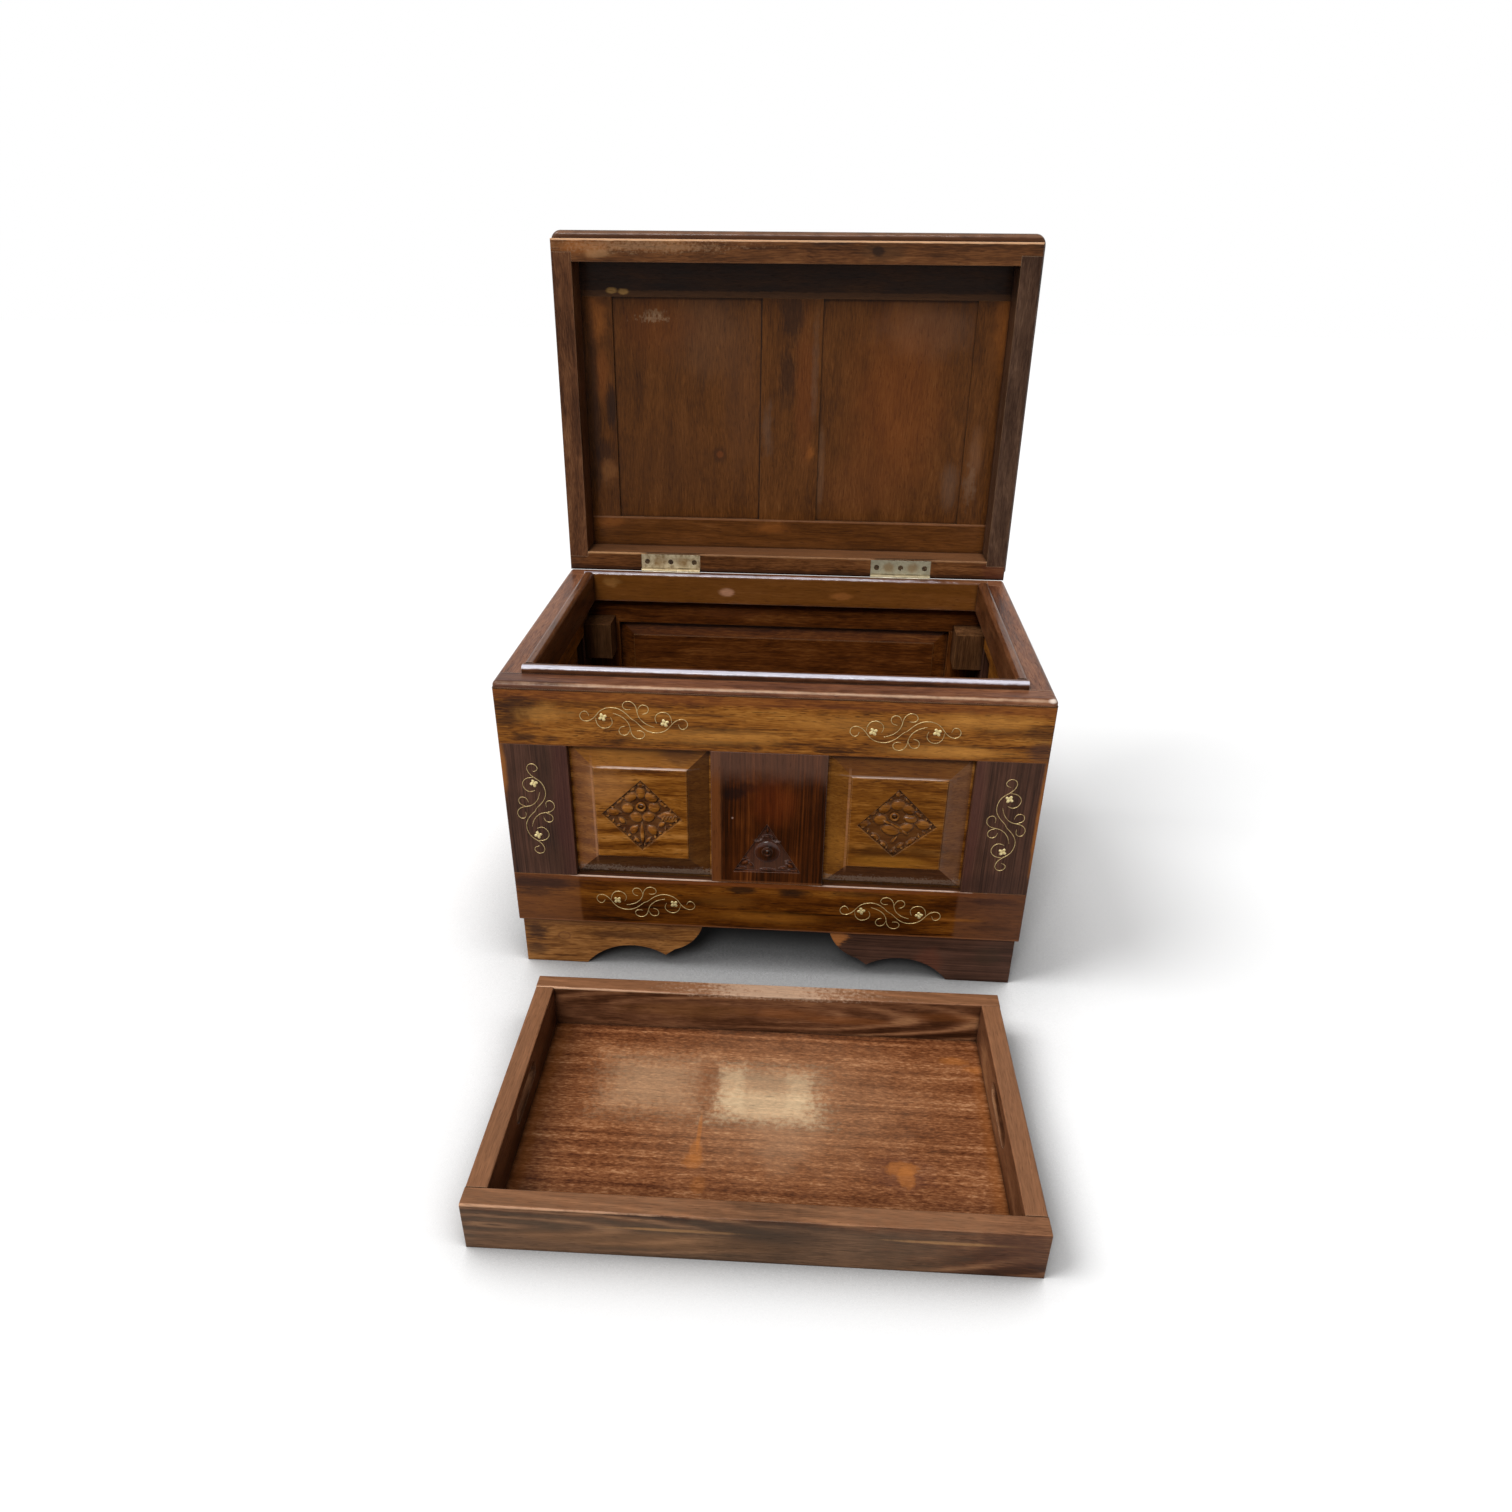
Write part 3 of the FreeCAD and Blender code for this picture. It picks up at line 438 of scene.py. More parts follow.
        # Painted shade: the colour darkens towards the shade colour where ambient occlusion finds the surface
        # hemmed in.
        open_share = shader.node("ShaderNodeAmbientOcclusion", {"samples": 6}, {"Distance": 0.007}, out="AO")
        painted_recess_shade = shader.smooth(1.0 - open_share, 0.12, 0.75)
        colour = shader.mix(edge_wear_and_highlight * self.edge_wear_and_highlight_share * (1.0 - painted_recess_shade), colour, self.edge_wear_and_highlight_colour)
        colour = shader.mix(painted_recess_shade * self.painted_shade_share, colour, self.painted_shade_colour)

        relief = fibres * 0.35 + fine * 0.3 + streaks * 0.6 + wave * 0.8 - pores * 0.5
        normal = shader.node("ShaderNodeBump", wires={
            "Strength": self.bump, "Distance": 0.0006, "Height": relief, "Normal": soft,
        })
        roughness = self.roughness + (streaks - 0.5) * 0.2 + (mottle - 0.5) * 0.2 + pores * 0.15
        surface = shader.node("ShaderNodeBsdfPrincipled", wires={
            "Base Color": colour,
            "Roughness": roughness.held(),
            "Normal": normal,
            "Specular IOR Level": self.specular,
            "Coat Weight": coat.held(),
            "Coat Roughness": self.coat_roughness,
        })
        return shader.finish(surface)


@dataclass(frozen=True)
class Metal:
    """A metal finish: its colour, how dull it is, and how its tarnish runs."""

    name: str
    bright: tuple
    dull: tuple
    roughness: float = 0.3
    metallic: float = 1.0
    grit: float = 260.0

    def material(self, patches: Iterable[tuple] = ()) -> bpy.types.Material:
        """Make the metal's material.

        Args:
            patches: rows of the places where its colour differs.

        Returns:
            The material.
        """
        shader = Shader(self.name)
        spot = shader.node("ShaderNodeTexCoord", out="Object")
        tarnish = shader.noise(spot, 4.0, 0.65, self.grit)
        fine = shader.noise(spot, 3.0, 0.6, self.grit * 6)
        colour = shader.mix(shader.smooth(tarnish, 0.35, 0.7), self.bright, self.dull)
        for patch in Patch.read(patches):
            mask = patch.mask(shader, spot)
            colour = shader.mix(mask * patch.strength, colour, patch.colour)
        soft = shader.node("ShaderNodeBevel", {"samples": 4}, {"Radius": 0.0004})
        normal = shader.node("ShaderNodeBump", wires={
            "Strength": 0.25, "Distance": 0.0002, "Height": fine + tarnish, "Normal": soft,
        })
        surface = shader.node("ShaderNodeBsdfPrincipled", wires={
            "Base Color": colour,
            "Metallic": self.metallic,
            "Roughness": (self.roughness + (tarnish - 0.5) * 0.35).held(),
            "Normal": normal,
        })
        return shader.finish(surface)


AMBER = Wood("amber", rgb(58, 30, 8), rgb(98, 56, 18), rgb(136, 82, 27), rgb(160, 104, 42), rgb(186, 130, 60),
             streak_width=0.004, streak_share=0.35, broad_share=0.5, fibre_share=0.8, vein_share=0.9,
             ring_width=0.02, ring_share=0.25, pore_share=0.8)
AMBER_FOOT = Wood("amber foot", rgb(66, 36, 14), rgb(104, 63, 28), rgb(134, 86, 42), rgb(156, 106, 57),
                  rgb(180, 126, 72), streak_width=0.004, streak_share=0.35, broad_share=0.6, fibre_share=0.7,
                  vein_share=0.6, pore_share=0.6)
DEEP_AMBER = Wood("deep amber", rgb(30, 12, 0), rgb(58, 25, 2), rgb(86, 44, 6), rgb(108, 60, 13),
                  rgb(136, 84, 26), streak_share=0.35, broad_share=0.7, fibre_share=0.5, vein_share=0.8,
                  ring_width=0.022, ring_share=0.35, pore_share=0.6)
PURPLE = Wood("purple brown", rgb(36, 21, 14), rgb(52, 33, 24), rgb(68, 44, 33), rgb(82, 54, 42),
              rgb(102, 70, 54), streak_width=0.0028, streak_length=0.3, ring_share=0.05, streak_share=0.4,
              broad_share=0.3, fibre_length=0.2, fibre_width=0.0016, fibre_share=0.9, pore_share=0.15,
              sway=0.006, edge_wear_and_highlight_colour=(0.22, 0.11, 0.05, 1.0))
RED_BROWN = Wood("red brown", rgb(22, 6, 0), rgb(38, 14, 1), rgb(56, 23, 3), rgb(78, 37, 8), rgb(108, 56, 20),
                 streak_width=0.004, streak_length=0.25, ring_share=0.1, streak_share=0.5,
                 fibre_length=0.16, fibre_width=0.0018, fibre_share=0.85, pore_share=0.2, sway=0.012,
                 edge_wear_and_highlight_colour=(0.26, 0.17, 0.14, 1.0), edge_wear_and_highlight_share=0.45, painted_shade_share=0.4)
FIELD = Wood("field amber", rgb(70, 34, 2), rgb(104, 58, 12), rgb(132, 80, 24), rgb(152, 98, 38),
             rgb(176, 120, 58), streak_share=0.45, fibre_share=0.8, ring_width=0.016, ring_share=0.35,
             pore_share=0.8, edge_wear_and_highlight_colour=(0.4, 0.25, 0.14, 1.0), coat=0.08, painted_shade_share=0.6)
RIM = Wood("rim brown", rgb(58, 30, 19), rgb(85, 50, 32), rgb(110, 68, 45), rgb(132, 87, 60),
           rgb(154, 108, 78), streak_share=0.3, fibre_share=0.7, coat=0.1,
           edge_wear_and_highlight_colour=(0.5, 0.34, 0.22, 1.0), edge_wear_and_highlight_share=0.5, painted_shade_share=0.85)
LIP = Wood("lip brown", rgb(42, 20, 10), rgb(62, 34, 18), rgb(86, 50, 28), rgb(106, 66, 40), rgb(132, 88, 58),
           streak_share=0.4, coat=0.25, edge_wear_and_highlight_colour=(0.5, 0.36, 0.28, 1.0), edge_wear_and_highlight_share=0.7, painted_shade_share=0.9)
LINER = Wood("liner", rgb(40, 15, 2), rgb(60, 28, 6), rgb(80, 40, 11), rgb(98, 54, 19), rgb(120, 74, 34),
             roughness=0.45, fibre_share=0.7, vein_share=0.2, broad_share=0.4, painted_shade_share=0.95)
LID = Wood("lid brown", rgb(42, 20, 6), rgb(68, 37, 13), rgb(88, 50, 18), rgb(105, 62, 27), rgb(132, 88, 47),
           streak_share=0.25, broad_share=0.4, mottle_share=0.3, fibre_share=0.6, fibre_length=0.03,
           vein_share=0.2, pore_share=0.4, edge_wear_and_highlight_share=0.2, painted_shade_share=0.9)
LID_EDGE = Wood("lid edge", rgb(44, 22, 8), rgb(68, 39, 18), rgb(92, 55, 28), rgb(112, 70, 38),
                rgb(140, 96, 58), streak_share=0.3, fibre_share=0.7, edge_wear_and_highlight_colour=(0.46, 0.28, 0.16, 1.0),
                edge_wear_and_highlight_share=0.4, painted_shade_share=0.9)
LID_SIDE = replace(LID_EDGE, name="lid side", dark=rgb(56, 36, 24), plain=rgb(73, 50, 36),
                   light=rgb(88, 63, 47), pale=rgb(112, 84, 64))
LID_WARM = replace(LID_EDGE, name="lid warm side", dark=rgb(64, 36, 18), plain=rgb(85, 51, 29),
                   light=rgb(104, 66, 40), pale=rgb(130, 90, 60))
# Painted shadow: the lid's upper rail is given dark wood for the shadow that the front board casts on it.
LID_RAIL_PAINTED_SHADOW = Wood("lid dark rail", rgb(28, 13, 6), rgb(41, 23, 12), rgb(53, 32, 19), rgb(66, 41, 24),
                rgb(86, 57, 34), streak_share=0.4, painted_shade_share=0.9)
TRAY = Wood("tray brown", rgb(44, 22, 10), rgb(72, 42, 24), rgb(100, 64, 42), rgb(124, 84, 57),
            rgb(158, 114, 78), ring_width=0.0085, ring_share=0.5, ring_sharpness=2.0, streak_share=0.3,
            broad_share=0.4, vein_share=0.2, sway=0.012, edge_wear_and_highlight_colour=(0.45, 0.3, 0.19, 1.0), edge_wear_and_highlight_share=0.4)
TRAY_FLOOR = Wood("tray floor", rgb(66, 32, 14), rgb(94, 52, 28), rgb(118, 71, 42), rgb(142, 92, 58),
                  rgb(178, 130, 92), streak_width=0.0065, streak_length=1.6, streak_share=1.0,
                  broad_share=0.4, fibre_length=0.005, fibre_width=0.0016, fibre_share=1.0, vein_share=0.0,
                  pore_share=0.6, sway=0.008, coat=0.02, painted_shade_share=0.9)
RAW = Wood("unseen boards", rgb(46, 25, 10), rgb(62, 37, 18), rgb(80, 51, 28), rgb(100, 66, 40),
           rgb(126, 88, 56), coat=0.0, roughness=0.6, painted_shade_share=0.9)

BRASS = Metal("inlay brass", rgb(202, 178, 124), rgb(150, 122, 78), roughness=0.4, metallic=0.6)
PETAL_BRASS = Metal("flower brass", rgb(222, 204, 150), rgb(194, 172, 118), roughness=0.4, metallic=0.55)
LEAF = Metal("hinge brass", rgb(196, 180, 148), rgb(134, 112, 80), roughness=0.42, metallic=0.6, grit=150.0)
SCREW = Metal("screw steel", rgb(88, 68, 46), rgb(40, 26, 16), roughness=0.45, metallic=0.6)


class Bench:
    """Modelling by hand: one object is worked on at a time."""

    @staticmethod
    def only(obj: bpy.types.Object) -> bpy.types.Object:
        """Select one object and nothing else."""
        bpy.ops.object.select_all(action="DESELECT")
        obj.select_set(True)
        bpy.context.view_layer.objects.active = obj
        return obj

    @staticmethod
    def start(add: Callable, name: str, **settings: object) -> bpy.types.Object:
        """Add a primitive.

        Args:
            add: the operator that adds it.
            name: the new object's name.
            settings: what the operator is given.

        Returns:
            The new object.
        """
        bpy.ops.object.select_all(action="DESELECT")
        add(**settings)
        made = bpy.context.object
        made.name = name
        made.data.name = name
        return made

    @classmethod
    def block(cls, name: str, low: Sequence[float], high: Sequence[float]) -> bpy.types.Object:
        """A block between two corners, its place already in its mesh.

        Args:
            name: the block's name.
            low: its lowest corner, in metres.
            high: its highest corner, in metres.

        Returns:
            The block.
        """
        middle = [(a + b) / 2 for a, b in zip(low, high)]
        size = [b - a for a, b in zip(low, high)]
        made = cls.start(bpy.ops.mesh.primitive_cube_add, name, size=1, location=middle)
        made.scale = size
        return cls.settle(made)

    @classmethod
    def settle(cls, obj: bpy.types.Object) -> bpy.types.Object:
        """Put the object's place, turn and scale into its mesh."""
        cls.only(obj)
        bpy.ops.object.transform_apply(location=True, rotation=True, scale=True)
        return obj

    @classmethod
    def pick(cls, obj: bpy.types.Object, mode: str, test: Callable) -> None:
        """Open an object in edit mode with only the parts that pass a test selected.

        Args:
            obj: the object.
            mode: VERT, EDGE or FACE.
            test: told each vertex, edge or face.
        """
        if bpy.context.mode != "EDIT_MESH":
            cls.only(obj)
            bpy.ops.object.mode_set(mode="EDIT")
        bpy.ops.mesh.select_mode(type=mode)
        bpy.ops.mesh.select_all(action="DESELECT")
        work = bmesh.from_edit_mesh(obj.data)
        for part in {"VERT": work.verts, "EDGE": work.edges, "FACE": work.faces}[mode]:
            if test(part):
                part.select_set(True)
        bmesh.update_edit_mesh(obj.data)

    @staticmethod
    def close() -> None:
        """Leave edit mode."""
        bpy.ops.object.mode_set(mode="OBJECT")

    @classmethod
    def modify(cls, obj: bpy.types.Object, kind: str, **settings: object) -> bpy.types.Object:
        """Add a modifier and apply it.

        Args:
            obj: the object.
            kind: the modifier's type.
            settings: the modifier's properties.

        Returns:
            The object.
        """
        cls.only(obj)
        bpy.ops.object.modifier_add(type=kind)
        made = obj.modifiers[-1]
        for name, value in settings.items():
            setattr(made, name, value)
        bpy.ops.object.modifier_apply(modifier=made.name)
        return obj

    @classmethod
    def carve(cls, obj: bpy.types.Object, cutter: bpy.types.Object) -> bpy.types.Object:
        """Cut one object out of another and throw the cutter away."""
        cls.modify(obj, "BOOLEAN", operation="DIFFERENCE", solver="EXACT", object=cutter)
        bpy.data.objects.remove(cutter, do_unlink=True)
        return obj

    @classmethod
    def join(cls, pieces: Sequence[bpy.types.Object], name: str) -> bpy.types.Object:
        """Join several objects into one."""
        bpy.ops.object.select_all(action="DESELECT")
        for piece in pieces:
            piece.select_set(True)
        bpy.context.view_layer.objects.active = pieces[0]
        if len(pieces) > 1:
            bpy.ops.object.join()
        made = bpy.context.object
        made.name = name
        made.data.name = name
        return made

    @classmethod
    def smooth(cls, obj: bpy.types.Object, angle: float = 35.0) -> bpy.types.Object:
        """Shade an object smooth except at its corners."""
        cls.only(obj)
        bpy.ops.object.shade_smooth_by_angle(angle=math.radians(angle))
        return obj

    @classmethod
    def copy_of_node(cls, node: str, name: str) -> bpy.types.Object:
        """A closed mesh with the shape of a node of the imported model."""
        made = bpy.data.objects.new(name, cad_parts[node].data.copy())
        bpy.context.scene.collection.objects.link(made)
        made.data.name = name
        cls.pick(made, "VERT", lambda vert: True)
        bpy.ops.mesh.select_all(action="SELECT")
        bpy.ops.mesh.remove_doubles(threshold=1e-6)
        cls.close()
        return made


def dress(obj: bpy.types.Object, material: bpy.types.Material) -> None:
    """Give an object one material all over."""
    if obj.material_slots:
        for slot in obj.material_slots:
            slot.material = material
    else:
        obj.data.materials.append(material)


def hand_over(obj: bpy.types.Object, body: str, slot: str, *nodes: str) -> None:
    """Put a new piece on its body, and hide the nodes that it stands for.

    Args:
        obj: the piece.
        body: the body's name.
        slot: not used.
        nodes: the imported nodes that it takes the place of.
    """
    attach(obj, body)
    if nodes:
        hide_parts(*nodes)
    LOG.info("%s: %d faces", obj.name, len(obj.data.polygons))


@dataclass
class Carving:
    """Relief work: a sunk ground with domes, leaves and bosses standing in it, on a face towards -Y."""

    face: float
    depth: float = 0.0028
    fullness: float = 1.08 * MM
    pieces: list = field(default_factory=list)

    def sink(self, board: bpy.types.Object, corners: Sequence[Spot]) -> None:
        """Cut the ground into a board.

        Args:
            board: the board.
            corners: the ground's corners on the face, in metres.
        """
        sides, radius, taper = len(corners), 0.02, 0.95
        middle_x = sum(x for x, _ in corners) / sides
        middle_z = sum(z for _, z in corners) / sides
        cutter = Bench.start(
            bpy.ops.mesh.primitive_cylinder_add, "ground", vertices=sides, radius=radius,
            depth=self.depth * 2, location=(middle_x, self.face, middle_z), rotation=(math.radians(90), 0, 0),
        )
        Bench.settle(cutter)
        rims = sorted(
            {round(math.atan2(v.co.z - middle_z, v.co.x - middle_x), 3) for v in cutter.data.vertices}
        )
        wanted = sorted(corners, key=lambda spot: math.atan2(spot[1] - middle_z, spot[0] - middle_x))
        for turn, (x, z) in zip(rims, wanted):
            def here(vert: bmesh.types.BMVert, turn: float = turn) -> bool:
                """Whether a vertex is on this corner's edge."""
                return abs(math.atan2(vert.co.z - middle_z, vert.co.x - middle_x) - turn) < 0.01
            Bench.pick(cutter, "VERT", here)
            start = Vector((middle_x + radius * math.cos(turn), 0, middle_z + radius * math.sin(turn)))
            bpy.ops.transform.translate(value=(x - start.x, 0, z - start.z))
        Bench.pick(cutter, "FACE", lambda part: part.normal.y > 0.9)
        bpy.ops.transform.resize(value=(taper, 1, taper))
        Bench.close()
        Bench.carve(board, cutter)

    def dome(self, x: float, z: float, long: float, wide: float, turn: float = 0.0, rise: float = 1.0,
             point: float = 1.0) -> None:
        """A petal or leaf: a flattened ball, drawn out to a point at its ends where asked.

        Args:
            x: its middle across.
            z: its middle up.
            long: its length.
            wide: its width.
            turn: the way it points, in degrees from the right.
            rise: its height as a share of the ground's depth.
            point: how full its ends are; less is more pointed.
        """
        made = Bench.start(
            bpy.ops.mesh.primitive_uv_sphere_add, "petal", segments=16, ring_count=10, radius=0.5,
            rotation=(0, math.radians(90), 0),
        )
        Bench.settle(made)
        if point < 1:
            for side in (-1, 1):
                for edge, share in ((0.25, 1 - (1 - point) * 0.4), (0.4, point)):
                    Bench.pick(made, "VERT", lambda v, s=side, e=edge: v.co.x * s > e)
                    bpy.ops.transform.resize(value=(1, share, share))
            Bench.close()
        made.scale = (long, 2 * self.depth * rise, wide)
        made.rotation_euler = (0, -math.radians(turn), 0)
        made.location = (x, self.face + self.depth, z)
        self.pieces.append(Bench.settle(made))

    def around(self, x: float, z: float, petals: Iterable[tuple], rise: float = 1.0,
               point: float = 1.0) -> None:
        """Several petals or leaves round one place.

        Args:
            x: the place across, in metres.
            z: the place up, in metres.
            petals: for each, how far across and up it is from there, its length and width, all in
                millimetres, and the way it points in degrees.
            rise: their height as a share of the ground's depth.
            point: how full their ends are.
        """
        for across, up, long, wide, turn in petals:
            size = (long * self.fullness, wide * self.fullness)
            self.dome(x + across * MM, z + up * MM, *size, turn, rise, point)

    def border(self, corners: Sequence[Spot], count: int, inset: float, long: float, wide: float) -> None:
        """Small leaves in a row along every side of the ground, their tips towards its middle.

        Args:
            corners: the ground's corners in order, in metres.
            count: how many leaves a side has.
            inset: how far in from the side they stand, in metres.
            long: a leaf's length, in millimetres.
            wide: a leaf's width, in millimetres.
        """
        middle = Vector((sum(x for x, _ in corners), sum(z for _, z in corners))) / len(corners)
        for start, end in zip(corners, (*corners[1:], corners[0])):
            start, end = Vector(start), Vector(end)
            inward = (middle - (start + end) / 2).normalized()
            for number in range(count):
                place = start.lerp(end, (number + 0.9) / (count + 0.8)) + inward * inset
                turn = math.degrees(math.atan2(inward.y, inward.x)) + (25 if number % 2 else -25)
                self.dome(place.x, place.y, long * MM, wide * MM, turn, 0.95, 0.6)

    def ring(self, x: float, z: float, radius: float, thick: float, dimple: bool = True) -> None:
        """A ring boss.

        Args:
            x: its middle across, in metres.
            z: its middle up, in metres.
            radius: its outer radius, in metres.
            thick: how thick the ring is, in metres.
            dimple: whether its middle is low and not domed.
        """
        made = Bench.start(
            bpy.ops.mesh.primitive_torus_add, "boss", major_segments=28, minor_segments=10,
            major_radius=radius - thick / 2, minor_radius=thick / 2,
            location=(x, self.face + self.depth * 0.2, z), rotation=(math.radians(90), 0, 0),
        )
        self.pieces.append(Bench.settle(made))
        self.dome(x, z, (radius - thick) * 2, (radius - thick) * 2, rise=0.55 if dimple else 1.1)

    def done(self, board: bpy.types.Object, name: str) -> bpy.types.Object:
        """Join the relief to its board."""
        for piece in self.pieces:
            Bench.smooth(piece, 60)
        return Bench.join([board, *self.pieces], name)


@dataclass
class FrontPanels:
    """The two fielded panels of the front, each with a carved diamond. Sizes in metres."""

    middle: float = 0.1345
    low: float = 0.1145
    high: float = 0.29
    half_width: float = 0.083
    back: float = FRONT + 0.01645
    tongue: float = FRONT + 0.00855
    step: float = FRONT + 0.004
    face: float = FRONT + 0.002
    margin: float = 0.011
    bevel: float = 0.022
    chamfer: float = 0.0014
    left_corners: tuple = ((-0.1339, 0.2445), (-0.1782, 0.2014), (-0.1353, 0.1565), (-0.0905, 0.1977))
    right_corners: tuple = ((0.1346, 0.2452), (0.0930, 0.1993), (0.1335, 0.1618), (0.1776, 0.2007))

    def blank(self, side: int) -> bpy.types.Object:
        """A fielded panel before carving.

        Args:
            side: -1 for the left, 1 for the right.

        Returns:
            The panel.
        """
        middle = side * self.middle
        made = Bench.block(
            f"blank_{side}",
            (middle - self.half_width, self.tongue, self.low),
            (middle + self.half_width, self.back, self.high),
        )
        wide, high = 2 * self.half_width, self.high - self.low
        Bench.pick(made, "FACE", lambda part: part.normal.y < -0.9)
        for inset, rise in ((self.margin, 0.0), (self.bevel, self.step - self.tongue),
                            (self.chamfer, self.face - self.step)):
            bpy.ops.mesh.extrude_region_move(TRANSFORM_OT_translate={"value": (0, rise, 0)})
            bpy.ops.transform.resize(
                value=((wide - 2 * inset) / wide, 1, (high - 2 * inset) / high),
                center_override=(middle, self.face, (self.low + self.high) / 2),
            )
            wide -= 2 * inset
            high -= 2 * inset
        Bench.close()
        return made

    def carved(self, side: int) -> bpy.types.Object:
        """Carve the diamond: a flower on a stalk, with a leaf in each side corner."""
        panel = self.blank(side)
        carving = Carving(self.face)
        corners = self.left_corners if side < 0 else self.right_corners
        carving.sink(panel, corners)
        carving.border(corners, count=7, inset=0.0031, long=5.4, wide=2.6)
        if side < 0:
            self._flower(carving)
        else:
            self._spray(carving)
        return carving.done(panel, "carved_left_panel" if side < 0 else "carved_right_panel")

    @staticmethod
    def _flower(carving: Carving) -> None:
        """The left panel's flower."""
        x, z = -0.1348, 0.2113
        carving.around(x, z, (
            (-10.7, 10.6, 14.5, 10.5, 32), (0.0, 15.7, 13.5, 10.5, 90), (10.7, 10.6, 14.5, 10.5, -32),
            (13.8, -1.5, 12.5, 12.0, 0), (7.5, -13.0, 14.0, 11.5, 28), (-5.5, -14.0, 13.5, 11.5, -28),
            (-14.5, -3.3, 12.5, 12.0, 0),
        ))
        carving.ring(x, z, 0.0056, 0.0027)
        carving.around(x, z, (
            (-30.8, -8.4, 18.0, 9.5, -4), (29.6, -12.8, 24.0, 13.0, -3), (0.0, -35.0, 30.0, 4.6, 90),
            (-8.8, -29.5, 13.0, 8.0, 55), (11.3, -29.5, 15.0, 9.5, -50), (0.0, 26.0, 10.0, 6.5, 90),
            (-21.0, -18.5, 10.0, 5.0, -46), (21.5, -21.5, 11.0, 5.0, 44), (-5.6, -42.0, 10.0, 4.0, -52),
            (5.8, -42.0, 10.0, 4.0, 50), (-8.5, 20.5, 9.0, 3.4, 44), (8.5, 20.5, 9.0, 3.4, -44),
            (-23.0, 4.8, 10.0, 4.0, 44), (22.5, 4.0, 10.0, 4.0, -46),
        ), 0.9, 0.6)
        for row in range(4):
            carving.around(x, z, ((23.5 + row * 3.6, -13.2 + row * 0.3, 9.0 - row, 1.6, 62),), 1.35)

    @staticmethod
    def _spray(carving: Carving) -> None:
        """The right panel's spray, with a stem winding through it."""
        x, z = 0.1320, 0.2118
        carving.around(x, z, (
            (3.0, 13.0, 16.0, 11.5, 6), (-11.0, 9.0, 14.5, 11.0, 38), (14.0, 8.5, 15.0, 10.5, -34),
            (17.0, -3.0, 14.0, 10.0, -8), (12.5, -14.0, 17.0, 11.0, 28), (-3.0, -17.0, 20.0, 13.0, -16),
            (-14.5, -5.0, 14.0, 13.0, 8),
        ))
        carving.ring(x, z, 0.0052, 0.0025)
        carving.around(x, z, (
            (-7.5, -7.2, 11.0, 2.8, -22), (3.0, -12.0, 15.0, 2.6, -28), (12.0, -19.0, 9.0, 2.4, -44),
            (1.5, -28.0, 10.0, 2.6, 58), (16.0, 0.5, 10.0, 1.8, 8),
        ), 1.4)
        carving.around(x, z, (
            (30.5, -9.5, 19.0, 12.0, -6), (-31.5, -10.5, 13.0, 10.0, 0), (1.5, 26.0, 9.0, 6.5, 90),
            (-22.5, 3.0, 11.0, 4.4, 44), (-18.0, -26.0, 12.0, 5.0, -46), (-9.5, -34.5, 10.0, 5.0, -46),
            (19.5, -30.0, 13.0, 5.0, 44), (8.0, -36.0, 9.0, 5.0, 42), (2.0, -42.5, 9.0, 4.0, 80),
            (25.0, 2.5, 11.0, 4.0, -44), (-10.0, 19.5, 9.0, 5.0, 40), (12.0, 19.0, 9.0, 3.6, -44),
        ), 0.9, 0.6)

    def build(self) -> None:
        """Build and dress both panels."""
        for side, word in ((-1, "left"), (1, "right")):
            piece = self.carved(side)
            wood = FIELD.board(f"{word} carved panel", Grain.ACROSS, 3.3 + side, self._marks(side),
                               heart=(0.02, 0.06), drift=0.1 if side < 0 else 0.5)
            dress(piece, wood)
            hand_over(piece, "chest", "amber_wood", f"front_{word}_panel")

    def _bevel_light_and_shade(self, side: int) -> list[tuple]:
        """Painted light and shade on a panel's four bevels: each is tinted lighter or darker by the way it
        faces, and they meet at its mitres.
        """
        middle = side * self.middle / MM
        left, right, above, below = (-1, 0, 0), (1, 0, 0), (0, 0, 1), (0, 0, -1)
        tints = (
            (left, rgb(116, 72, 44), 0.6), (right, rgb(70, 39, 13), 0.85), (above, rgb(140, 88, 34), 0.5),
            (below, rgb(54, 30, 18), 0.85),
        ) if side < 0 else (
            (left, rgb(108, 67, 22), 0.6), (right, rgb(106, 72, 52), 0.75), (above, rgb(88, 49, 19), 0.75),
            (below, rgb(60, 36, 26), 0.85),
        )
        return [
            ((middle, FACE + 6.3, 200), (ALL, 3, ALL), tint, share, 0.2, 0.1, 50, True, 0.0, facing)
            for facing, tint, share in tints
        ]

